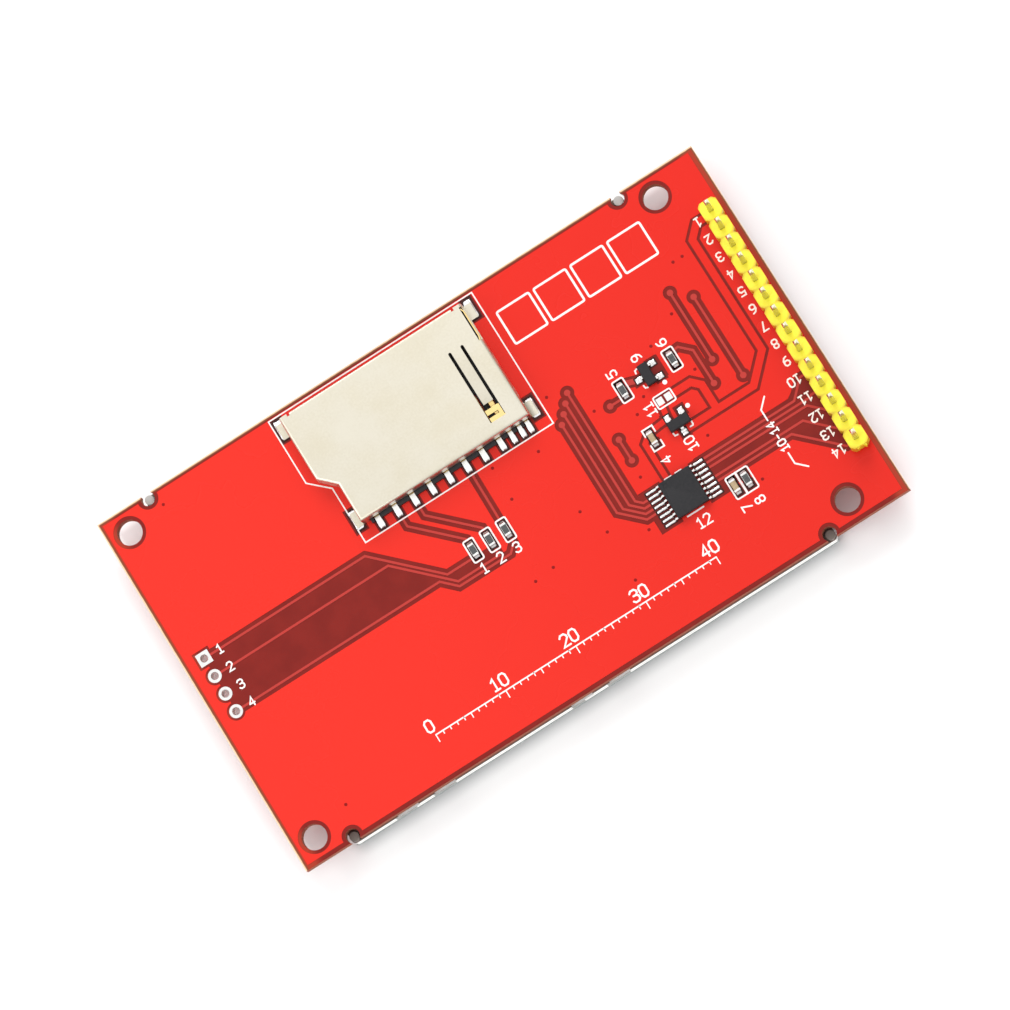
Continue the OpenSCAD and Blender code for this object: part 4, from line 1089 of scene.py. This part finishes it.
@dataclass
class WhitePrint:
    """The white print on the component side: outlines, plain numbers, ticks and a scale."""

    top: float
    pins: list[float]
    pads: list[float]
    thick: float = 0.016
    step: float = 0.0015
    line: float = 0.2
    advance: float = 0.82
    socket_path: tuple[Point, ...] = (
        (-18.45, 24.3), (-18.45, 15.35), (-16.05, 13.05), (-16.05, 5.17), (10.95, 5.17),
        (10.95, 24.3),
    )
    scale_span: tuple[float, float] = (-21.0, 19.0)
    scale_y: float = -19.4
    blank_x: tuple[float, ...] = (12.2, 17.5, 22.8, 28.1)
    blank_y: float = 15.9
    blank_size: float = 4.6
    pad_label_x: float = -38.3
    pin_label_x: float = 39.05
    label_size: float = 1.1
    box_corner: float = 0.25
    dot_d: float = 0.6
    scale_label: float = 1.5
    ticks: tuple[float, float, float] = (0.95, 0.65, 0.4)
    ink: Lofted = field(default_factory=Lofted)

    def pen(self, path: Sequence[Point], closed: bool = False, width: float | None = None) -> None:
        """Draws one line of ink along a path.

        Lines cross, so each of five in turn is a step thicker than the one before.

        Args:
            path: points of the line.
            closed: whether it returns to its start.
            width: width of the pen, or None for the usual one.
        """
        lap = self.thick + self.step * (len(self.ink.points) % 5)
        path = np.asarray(path, float)
        rings = stroke(path, width or self.line, self.top, self.top + lap, closed)
        self.ink.loft(rings, closed)

    def number(
        self, text: str, x: float, y: float, height: float, turn: float = 0.0,
        width: float | None = None,
    ) -> None:
        """Writes a plain number, its first digit's lower left corner at x, y.

        Each digit's points are scaled by the height, moved along the line by its place, then
        turned about the start.

        Args:
            text: digits and dashes.
            x: start of the line.
            y: start of the line.
            height: height of a digit.
            turn: direction of the line in degrees.
            width: width of the pen.
        """
        c, s = math.cos(math.radians(turn)), math.sin(math.radians(turn))
        for i, sign in enumerate(text):
            for closed, shape in DIGITS[sign]:
                flat = np.asarray(shape, float) * height + [i * self.advance * height, 0]
                path = flat @ np.array([[c, s], [-s, c]]) + [x, y]
                self.pen(path, closed, width)

    def box(self, x0: float, y0: float, x1: float, y1: float, width: float | None = None) -> None:
        """Draws a rounded box round the given middle line."""
        self.pen(rounded(rectangle(x0, y0, x1, y1), self.box_corner), True, width)

    def dot(self, x: float, y: float, diameter: float) -> None:
        """Prints a dot."""
        r, z = diameter / 2, self.top
        self.ink.loft(turned_rings((x, y), [(r, z), (r, z + self.thick)]))

    def socket_outline(self) -> None:
        """The line round the card socket."""
        self.pen(self.socket_path, True, 0.17)

    def part_outlines(self) -> None:
        """Boxes, ticks and dots round the small parts."""
        # A box round each resistor of the row of three, and of the pair by the transistor.
        for x in (-5.4, -3.05, -0.75):
            self.box(x - 0.68, -4.25, x + 0.68, -1.3)
        for x in (20.18, 27.22):
            self.box(x - 0.75, 2.48, x + 0.75, 5.42)
        # A box round the jumper, and a bracket at each end of the capacitor below it.
        self.box(22.67, -0.47, 25.1, 1.15)
        for s, y in ((1, -1.55), (-1, -4.5)):
            self.pen([(19.47, y - s * 0.85), (19.47, y), (20.87, y), (20.87, y - s * 0.85)])
        # One box round a capacitor and a resistor, with a bar between them.
        self.box(24.85, -14.92, 27.92, -11.95)
        self.pen([(26.3, -14.9), (26.3, -11.97)], width=0.28)
        # Corners of the transistor and of the regulator, and a dot beside each.
        for s, y in ((1, 5.28), (-1, 2.62)):
            self.pen([(22.6, y - s * 0.45), (22.66, y - s * 0.1), (22.95, y)])
        self.pen([(22.55, -3.85), (22.6, -4.2), (22.95, -4.25)])
        self.pen([(25.2, -2.85), (25.2, -4.1), (25.1, -4.25), (24.75, -4.25)])
        self.dot(25.0, 2.05, self.dot_d)
        self.dot(25.82, -1.87, self.dot_d)
        # The ends of the touch controller.
        for a, b, y in ((18.7, 19.6, -8.07), (20.2, 21.0, -8.07), (18.7, 20.95, -13.38)):
            self.pen([(a, y), (b, y)])

    def part_numbers(self) -> None:
        """Plain numbers beside the small parts."""
        for text, x, y, height, turn in PART_NUMBERS:
            self.number(text, x, y, height, turn)

    def connector_numbers(self) -> None:
        """Numbers beside the wire pads and, turned about, beside the header pins."""
        for i, y in enumerate(self.pads):
            self.number(str(i + 1), self.pad_label_x, y - self.label_size / 2, self.label_size)
        for i, y in enumerate(self.pins):
            below = y + self.label_size / 2
            self.number(str(i + 1), self.pin_label_x, below, self.label_size, 180)
        # A bracket that takes in pins 10 to 14.
        self.pen([(34.2, -6.0), (33.0, -7.2), (33.0, -8.7)])
        self.pen([(33.0, -13.4), (33.0, -14.9), (34.2, -16.1)])
        self.number("10-14", 33.5, -13.0, 1.0, 90)

    def scale(self, x0: float, x1: float, y: float) -> None:
        """A plain millimetre scale, with longer ticks at fives and numbered ones at tens.

        Args:
            x0: start of the scale.
            x1: end of the scale.
            y: its line.
        """
        self.pen([(x0, y), (x1, y)], width=0.18)
        marks = range(int(round(x1 - x0)) + 1)
        at_ten, at_five, plain = self.ticks
        for i in marks:
            tall = at_ten if i % 10 == 0 else at_five if i % 5 == 0 else plain
            self.pen([(x0 + i, y), (x0 + i, y - tall)], width=0.14)
        for i in marks[::10]:
            start = x0 + i - 0.62 * len(str(i))
            self.number(str(i), start, y + 0.55, self.scale_label, width=0.24)

    def blank_boxes(self) -> None:
        """A row of blank boxes to write in."""
        for x in self.blank_x:
            self.box(x, self.blank_y, x + self.blank_size, self.blank_y + self.blank_size, 0.28)

    def build(self, dresser: Dresser) -> None:
        """Draws it all and makes the piece.

        Args:
            dresser: gives the finishes.
        """
        self.socket_outline()
        self.part_outlines()
        self.part_numbers()
        self.connector_numbers()
        self.scale(*self.scale_span, self.scale_y)
        self.blank_boxes()
        dresser.piece(self.ink.piece("white_print"), WHITE_INK, "white_print")


# ---------------------------------------------------------------- board
@dataclass
class Board:
    """The laminate, its lacquered copper, bare pads, via dimples and print."""

    narrow_below: float = 0.4
    dimples: tuple[Point, ...] = (
        (-34.7, 22.7), (-34.7, -20.7), (11.9, 8.3), (7.6, 3.2), (8.0, -5.8), (-1.0, -10.1),
        (1.7, -9.8), (9.5, -9.7), (9.3, -16.5), (1.8, 4.5), (1.8, 0.0), (16.4, -6.2),
        (25.95, -6.3), (28.7, -14.4), (13.9, -12.2), (30.1, 8.7), (25.9, 6.7), (15.9, 3.7),
        (21.9, 1.95), (28.9, 1.4), (20.1, 0.5), (33.6, 14.0), (34.9, 14.0),
    )
    dimple: tuple[Point, ...] = (
        (0.22, -0.01), (0.2, 0.006), (0.15, 0.012), (0.08, 0.004), (0.01, 0.0),
    )

    def copper(self, dresser: Dresser, node: str) -> None:
        """Replaces a copper layer by a copy whose mesh says how narrow each solid is.

        The width of a solid is twice its face's area over its outline's length, and the
        outline's length is the area of its walls over their height.

        Args:
            dresser: gives the finish.
            node: the copper layer.
        """
        work = welded(node)
        bmesh.ops.triangulate(work, faces=[f for f in work.faces if len(f.verts) > 4])
        mesh = bpy.data.meshes.new(node + "_lacquered")
        work.to_mesh(mesh)
        work.free()
        points = points_of(mesh) / MM
        edges = np.zeros(len(mesh.edges) * 2, int)
        mesh.edges.foreach_get("vertices", edges)
        label = island_labels(points, edges.reshape(-1, 2))
        first = np.array([p.vertices[0] for p in mesh.polygons])
        area = np.array([p.area for p in mesh.polygons]) / MM**2
        flat = np.abs(np.array([p.normal.z for p in mesh.polygons])) > 0.5
        face = np.bincount(label[first], area * flat) / 2
        wall = np.bincount(label[first], area * ~flat) / np.ptp(points[:, 2])
        narrow = (2 * face / wall < self.narrow_below).astype(np.float32)
        mesh.attributes.new("narrow", "FLOAT", "POINT").data.foreach_set("value", narrow[label])
        piece = finished(node + "_lacquered", mesh, 20.0)
        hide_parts(node)
        dresser.piece(piece, LacquerFinish(), dresser.slots[node])

    def via_dimples(self, dresser: Dresser, top: float) -> None:
        """Small dents where the lacquer closes a via: a raised rim falls to a hollow.

        Args:
            dresser: gives the finish.
            top: height of the lacquer.
        """
        dents = Lofted()
        profile = [(radius, top + height) for radius, height in self.dimple]
        for spot in self.dimples:
            dents.loft(turned_rings(spot, profile, 14))
        dresser.piece(dents.piece("via_dimples", 80.0), VIA_LACQUER, "lacquered_copper")

    def build(self, dresser: Dresser) -> None:
        """Dresses the board and draws its print.

        Args:
            dresser: gives the finishes.
        """
        _, corner = box_mm("circuit_board")
        dresser.node("circuit_board", LaminateFinish(corner[0], corner[1]))
        self.copper(dresser, "copper_back")
        self.copper(dresser, "copper_front")
        dresser.node("contact_pads", TINNED)
        top = box_mm("copper_back")[1][2]
        self.via_dimples(dresser, top)
        pins = sorted((p.centre[1] for p in islands("header_pins")), reverse=True)
        rings = [p for p in islands("contact_pads") if p.size[2] > 1 and p.centre[0] < 0]
        pads = sorted((p.centre[1] for p in rings), reverse=True)
        WhitePrint(top, pins, pads).build(dresser)


@dataclass
class Solder:
    """Solder on the component side's pads, and the cones under the header."""

    film: float = 0.05
    cover: float = 0.86
    rows: int = 13
    columns: int = 9
    drawn_in: float = 0.18
    fall: float = 2.2
    least_climb_w: float = 0.35
    pad_thick: float = 0.05
    slim: float = 0.45
    cone_fall: float = 2.4
    # The stain sizes below set dark flux residue with painted shade round pads and under small
    # parts.
    stain: float = 0.08
    part_stain: Point = (0.58, 1.3)
    stain_corner: float = 0.1
    stain_sunk: float = 0.002
    stain_thick: float = 0.003
    stain_step: float = 0.0012

    def joint(self, pad: Island, wedge: Island) -> np.ndarray:
        """Rings of one joint: a thin pillow on the pad that climbs to the lead's end.

        Across the pad v runs from -1 to 1, and the height falls off as 1 - v^8. Along it the
        pillow has the same fall-off, and past the lead's end the solder sinks from the
        crest as (1 - d / reach)^fall, with d the distance from the end. The climb is as wide
        as the lead, and the pillow's sides draw in by a share of |u|^6 towards its ends.

        Args:
            pad: the bare pad.
            wedge: the CAD solder on it, whose crest is at the lead's end.

        Returns:
            Rings for Lofted.loft.
        """
        along = int(np.argmax(np.abs(wedge.crest[:2] - wedge.centre[:2])))
        across = 1 - along
        way = np.sign(wedge.centre[along] - wedge.crest[along])
        half = pad.size / 2 * self.cover
        u = np.linspace(-1, 1, self.rows)
        v = np.linspace(-1, 1, self.columns)
        d = (pad.centre[along] + u * half[along] - wedge.crest[along]) * way
        off_centre = abs(wedge.crest[along] - pad.centre[along])
        reach = max(half[along] * 2 - off_centre, wedge.size[along])
        climb = np.where(d > -0.02, np.clip(1 - d / reach, 0, 1) ** self.fall, 0.0)
        width = wedge.size[across] / 2 / half[across]
        slope = np.exp(-((v / max(width, self.least_climb_w)) ** 4) * 0.7) * (1 - v**8)
        pillow = self.film * (1 - u**8)[:, None] * (1 - v**8)
        height = pillow + (wedge.size[2] - self.film * 0.5) * climb[:, None] * slope
        height[[0, -1]] = 0
        place = np.zeros((self.rows, self.columns + 2, 3))
        round_off = (1 - self.drawn_in * np.abs(u) ** 6)[:, None]
        place[:, :-2, along] = pad.centre[along] + (u * half[along])[:, None]
        place[:, :-2, across] = pad.centre[across] + v * half[across] * round_off
        place[:, :-2, 2] = pad.high[2] + height
        place[:, -2:, :] = place[:, [self.columns - 1, 0], :]
        place[:, -2:, 2] = pad.high[2] - 0.01
        return place

    def cone(self, solid: Island, foot: float) -> np.ndarray:
        """Rings of one cone under the header, hollow in outline.

        From t = 0 at the foot to 1 at the tip, the radius is slim + (wide - slim)(1 - t)^fall.

        Args:
            solid: the CAD cone.
            foot: height of the pad that it hangs from.

        Returns:
            Rings for Lofted.loft.
        """
        t = np.linspace(0, 1, 9)
        tip = solid.low[2]
        radius = self.slim + (solid.size[0] / 2 - self.slim) * (1 - t) ** self.cone_fall
        side = list(zip(radius, foot - (foot - tip) * t))
        profile = [
            (self.slim - 0.05, foot + self.pad_thick), *side, (self.slim - 0.15, tip + 0.04),
        ]
        return turned_rings(tuple(solid.centre[:2]), profile, 20)

    def flux(self, dresser: Dresser, pads: list[Island]) -> None:
        """Dark flux residue with painted shade round the soldered pads and all over the space under
        small parts.

        Neighbouring stains of flux and shade lap over each other, so each of four in turn is a
        little thicker.

        Args:
            dresser: gives the finish.
            pads: the pads that carry solder.
        """
        stain = Lofted()
        spots = [(p.low[:2] - self.stain, p.high[:2] + self.stain, p.high[2]) for p in pads]
        reach = np.array(self.part_stain)
        for node in ("resistor_bodies", "capacitor_bodies"):
            for body in islands(node):
                spots.append((body.centre[:2] - reach, body.centre[:2] + reach, pads[0].high[2]))
        for i, (low, high, z) in enumerate(spots):
            outline = rounded(rectangle(*low, *high), self.stain_corner)
            thick = self.stain_thick + self.stain_step * (i % 4)
            heights = (z - self.stain_sunk, z + thick)
            rings = [np.column_stack([outline, np.full(len(outline), h)]) for h in heights]
            stain.loft(np.array(rings))
        # One piece of flux residue and painted shade.
        dresser.piece(stain.piece("flux_and_painted_shade"), FLUX_AND_SHADE, "lacquered_copper")

    def build(self, dresser: Dresser) -> None:
        """Makes the joints and the cones.

        Args:
            dresser: gives the finishes.
        """
        pads = [p for p in islands("contact_pads") if p.size[2] < 1]
        joints = Lofted()
        soldered = []
        for wedge in islands("surface_solder"):
            near = min(pads, key=lambda p: float(np.linalg.norm(p.centre[:2] - wedge.centre[:2])))
            joints.loft(self.joint(near, wedge))
            soldered.append(near)
        self.flux(dresser, soldered)
        made = joints.piece("solder_joints", 60.0)
        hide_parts("surface_solder")
        dresser.piece(made, SOLDER, dresser.slots["surface_solder"])
        cones = Lofted()
        foot = box_mm("circuit_board")[0][2] - self.pad_thick
        for cone in islands("header_solder"):
            cones.loft(self.cone(cone, foot))
        made = cones.piece("header_solder_cones", 60.0)
        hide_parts("header_solder")
        dresser.piece(made, SOLDER, dresser.slots["header_solder"])


@dataclass
class Header:
    """The yellow pin strip."""

    rounding: float = 0.09
    pin_rounding: float = 0.04

    def build(self, dresser: Dresser) -> None:
        """Rounds and dresses the plastic, and dresses the pins.

        Args:
            dresser: gives the finishes.
        """
        last = min((p.centre for p in islands("header_pins")), key=lambda c: float(c[1]))
        strip = StripFinish(float(last[1]), float(last[0]))
        dresser.soft_copy("header_housing", strip, self.rounding)
        dresser.soft_copy("header_pins", PinFinish(box_mm("header_pins")[1][2]), self.pin_rounding)


@dataclass
class CardSocket:
    """The memory card socket."""

    def build(self, dresser: Dresser) -> None:
        """Dresses the shell, base, blades and leaves.

        Args:
            dresser: gives the finishes.
        """
        dresser.soft_copy("card_socket_shell", SHEET_METAL, 0.0, 30.0)
        dresser.node("card_socket_base", SOCKET_BLACK)
        spring = SpringFinish(box_mm("card_socket_shell")[0][1])
        dresser.soft_copy("card_contacts", spring, 0.0, 30.0)
        dresser.soft_copy("card_detect_leaf", spring, 0.03)
        dresser.soft_copy("write_lock_leaf", spring, 0.03)


@dataclass
class Chips:
    """The touch controller, the small three-lead parts, and the chip resistors and capacitors."""

    body_rounding: float = 0.08
    lead_rounding: float = 0.025

    def build(self, dresser: Dresser) -> None:
        """Rounds and dresses each part.

        Args:
            dresser: gives the finishes.
        """
        for name in ("touch_controller", "regulator", "transistor"):
            dresser.soft_copy(name + "_body", CHIP, self.body_rounding)
            dresser.soft_copy(name + "_leads", TINNED, self.lead_rounding)
        dresser.node("resistor_bodies", ALUMINA)
        dresser.soft_copy("resistor_films", OVERGLAZE, 0.012)
        dresser.soft_copy("resistor_caps", TINNED, 0.035)
        dresser.soft_copy("capacitor_bodies", CERAMIC_TAN, 0.06)
        dresser.soft_copy("capacitor_caps", TINNED, 0.05)


@dataclass
class Display:
    """The display with its light, films and flex."""

    # Height above which the frame is painted dark, for tape and painted shade.
    tape_z: float = 3.2
    peg_from: float = 0.1
    peg_drop: float = 0.55
    screen_border: float = 1.8

    def frame(self, dresser: Dresser) -> None:
        """The moulded frame: its pegs' tops, above the foam tape, end lower in their notches.

        Args:
            dresser: gives the finishes.
        """
        low, high = box_mm("backlight_frame")
        rim = box_mm("foam_tape")[0][2]
        piece = softened("backlight_frame", "backlight_frame_rounded", 0.05)
        mesh = piece.data
        points = points_of(mesh)
        points[points[:, 2] > (rim + self.peg_from) * MM, 2] -= self.peg_drop * MM
        mesh.vertices.foreach_set("co", points.ravel())
        mesh.update()
        finish = RimFinish(self.tape_z, (high[1] - low[1]) / 2)
        dresser.piece(piece, finish, dresser.slots["backlight_frame"])

    def build(self, dresser: Dresser) -> None:
        """Dresses each layer.

        Args:
            dresser: gives the finishes.
        """
        dresser.node("foam_tape", FOAM)
        self.frame(dresser)
        for name, finish in (
            ("reflector_sheet", REFLECTOR), ("light_guide", CLEAR_GUIDE),
            ("lamp_strip", FlexFinish()), ("backlight_lamps", LAMP), ("diffuser_sheet", MILKY),
            ("lower_prism_sheet", PRISM), ("upper_prism_sheet", PRISM),
            ("rear_polariser", DARK_FILM), ("lower_glass", DISPLAY_GLASS),
            ("upper_glass", DISPLAY_GLASS), ("driver_chip", SILICON), ("flex_solder", SOLDER),
        ):
            dresser.node(name, finish)
        low, high = box_mm("front_polariser")
        half = (high - low) / 2 - self.screen_border
        screen = ScreenFinish((low[0] + high[0]) / 2, half[0], half[1])
        dresser.node("front_polariser", screen)
        dresser.soft_copy("display_flex", FlexFinish(), 0.0, 40.0)


@dataclass
class TouchPanel:
    """The touch panel with its printed silver lines, each by its inset and width."""

    lines: tuple[Point, ...] = ((0.55, 0.18), (0.95, 0.18), (1.5, 0.35))

    def silver_lines(self, dresser: Dresser) -> None:
        """Three printed lines round the film's border.

        Args:
            dresser: gives the finishes.
        """
        low, high = box_mm("touch_film")
        ink = Lofted()
        z = high[2] - 0.02
        for inset, width in self.lines:
            corners = rectangle(*(low[:2] + inset), *(high[:2] - inset))
            ink.loft(stroke(rounded(corners, 0.5), width, z, z + 0.012, True), True)
        dresser.piece(ink.piece("printed_silver_lines"), SILVER_INK, "touch_film")

    def build(self, dresser: Dresser) -> None:
        """Dresses each layer and prints the lines.

        Args:
            dresser: gives the finishes.
        """
        dresser.node("touch_gasket", BLACK_TAPE)
        dresser.node("touch_spacer", BLACK_TAPE)
        dresser.node("touch_glass", PanelGlassFinish("touch_glass", (0.60, 0.71, 0.75), 0.22))
        dresser.node("touch_film", PanelGlassFinish("hard_coated_film", (0.58, 0.62, 0.66), 0.16))
        dresser.soft_copy("touch_flex", FlexFinish(1.0), 0.0, 40.0)
        self.silver_lines(dresser)


# ---------------------------------------------------------------- studio
@dataclass
class Studio:
    """Pale floor, soft white light, and the camera."""

    lens: float = 202.4
    place: tuple[float, float, float] = (0.03656, -0.13070, 0.67918)
    right: tuple[float, float, float] = (0.84253, -0.51866, -0.14538)
    up: tuple[float, float, float] = (0.53612, 0.83359, 0.13308)
    floor_size: float = 6.0
    floor_colour: Colour = (0.97, 0.97, 0.97)
    # Colours of the painted shadow under the part and beside its -Y side.
    under_colour: Colour = (0.74, 0.73, 0.73)
    side_colour: Colour = (0.50, 0.50, 0.505)
    floor_glow: float = 0.065
    glow_reach: tuple[float, float] = (2.0, 12.0)
    shade_x: float = 42.5
    shade_y: float = 24.5
    shade_rim: float = 1.0
    side_middle: float = -2.0
    side_x: tuple[float, float] = (33.5, 36.0)
    side_y: tuple[float, float] = (23.9, 27.0)
    sky: float = 1.22
    horizon: float = 0.4
    lamps: tuple[tuple[str, float, float, tuple[float, float, float]], ...] = (
        ("key", 5.0, 0.6, (0.2, 0.75, 0.7)),
        ("fill", 0.75, 0.4, (-0.42, -0.05, 0.3)),
    )

    def floor_finish(self) -> bpy.types.Material:
        """Pale floor with painted shadow under the part and beside its -Y side, and clear from
        below.

        Under the part is where |X| and |Y| are short of the shade's half sizes. The glow
        grows with (|X| - half x) + (|Y| - half y), each where it is more than nothing.

        Returns:
            The material.
        """
        g = Graph("pale_floor")
        x, y, _ = g.axes()
        inside, beyond = [], []
        for axis, half in ((x, self.shade_x), (y, self.shade_y)):
            size = g.maths("ABSOLUTE", axis)
            inside.append(g.spread(size, 1.0, 0.0, half - self.shade_rim, half))
            beyond.append(g.maths("MAXIMUM", 0.0, g.maths("SUBTRACT", size, half)))
        along = g.spread(g.apart(x, self.side_middle), 1.0, 0.0, *self.side_x)
        near = g.spread(g.maths("MULTIPLY", y, -1.0), 1.0, 0.0, *self.side_y)
        near = g.maths("MULTIPLY", near, g.maths("LESS_THAN", y, 0.0))
        beside = g.maths("MULTIPLY", along, near)
        # Painted shadow beside the display's -Y side.
        open_floor = g.blend(beside, self.floor_colour, self.side_colour)
        away = g.maths("ADD", *beyond)
        g.use(
            Base_Color=g.blend(g.maths("MULTIPLY", *inside), open_floor, self.under_colour),
            Roughness=0.9,
            Specular_IOR_Level=0.1,
            Emission_Color=(1.0, 1.0, 1.0),
            Emission_Strength=g.spread(away, 0.0, self.floor_glow, *self.glow_reach),
        )
        clear = g.node("BsdfTransparent", {})
        under = g.node("NewGeometry", {}).outputs["Backfacing"]
        mixed = g.node("MixShader", {0: under, 1: g.shader.outputs[0], 2: clear.outputs[0]})
        output = g.tree.nodes["Material Output"]
        g.tree.links.new(mixed.outputs[0], output.inputs["Surface"])
        return g.material

    def floor(self) -> None:
        """A large flat sheet under the part."""
        half = self.floor_size / 2
        mesh = bpy.data.meshes.new("floor")
        corners = [(*corner, 0.0) for corner in rectangle(-half, -half, half, half)]
        mesh.from_pydata(corners, [], [(0, 1, 2, 3)])
        mesh.materials.append(self.floor_finish())
        linked("floor", mesh)

    def light(self) -> None:
        """White sky, dimmer at the horizon, a large lamp beyond the card socket, a weak one."""
        world = bpy.data.worlds.new("sky")
        world.use_nodes = True
        tree = world.node_tree
        way = tree.nodes.new("ShaderNodeTexCoord").outputs["Object"]
        split = tree.nodes.new("ShaderNodeSeparateXYZ")
        glow = tree.nodes.new("ShaderNodeMapRange")
        glow.inputs["To Min"].default_value = self.horizon
        glow.inputs["To Max"].default_value = self.sky
        tree.links.new(way, split.inputs[0])
        tree.links.new(split.outputs[2], glow.inputs["Value"])
        tree.nodes["Background"].inputs["Color"].default_value = (1, 1, 1, 1)
        tree.links.new(glow.outputs[0], tree.nodes["Background"].inputs["Strength"])
        bpy.context.scene.world = world
        for name, power, size, place in self.lamps:
            data = bpy.data.lights.new(name, "AREA")
            data.energy, data.size = power, size
            lamp = linked(name, data)
            lamp.location = place
            lamp.rotation_euler = (-Vector(place)).to_track_quat("-Z", "Y").to_euler()
        bpy.context.scene.view_settings.view_transform = "Standard"

    def camera(self) -> None:
        """The camera, from its place and its two side directions."""
        data = bpy.data.cameras.new("camera")
        data.lens, data.sensor_width = self.lens, 36.0
        data.clip_start, data.clip_end = 0.05, 20.0
        camera = linked("camera", data)
        right, up = Vector(self.right).normalized(), Vector(self.up).normalized()
        turn = Matrix((right, up, right.cross(up))).transposed().to_4x4()
        camera.matrix_world = Matrix.Translation(self.place) @ turn
        bpy.context.scene.camera = camera

    def build(self) -> None:
        """Sets up the studio."""
        self.camera()
        self.light()
        self.floor()


def main() -> None:
    """Builds the module's looks in order."""
    logging.basicConfig(level=logging.INFO, format="%(name)s: %(message)s")
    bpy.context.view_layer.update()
    dresser = Dresser()
    Studio().build()
    for part in (Board(), Solder(), Header(), CardSocket(), Chips(), Display(), TouchPanel()):
        LOG.info("building %s", type(part).__name__)
        part.build(dresser)


if __name__ == "__main__":
    main()
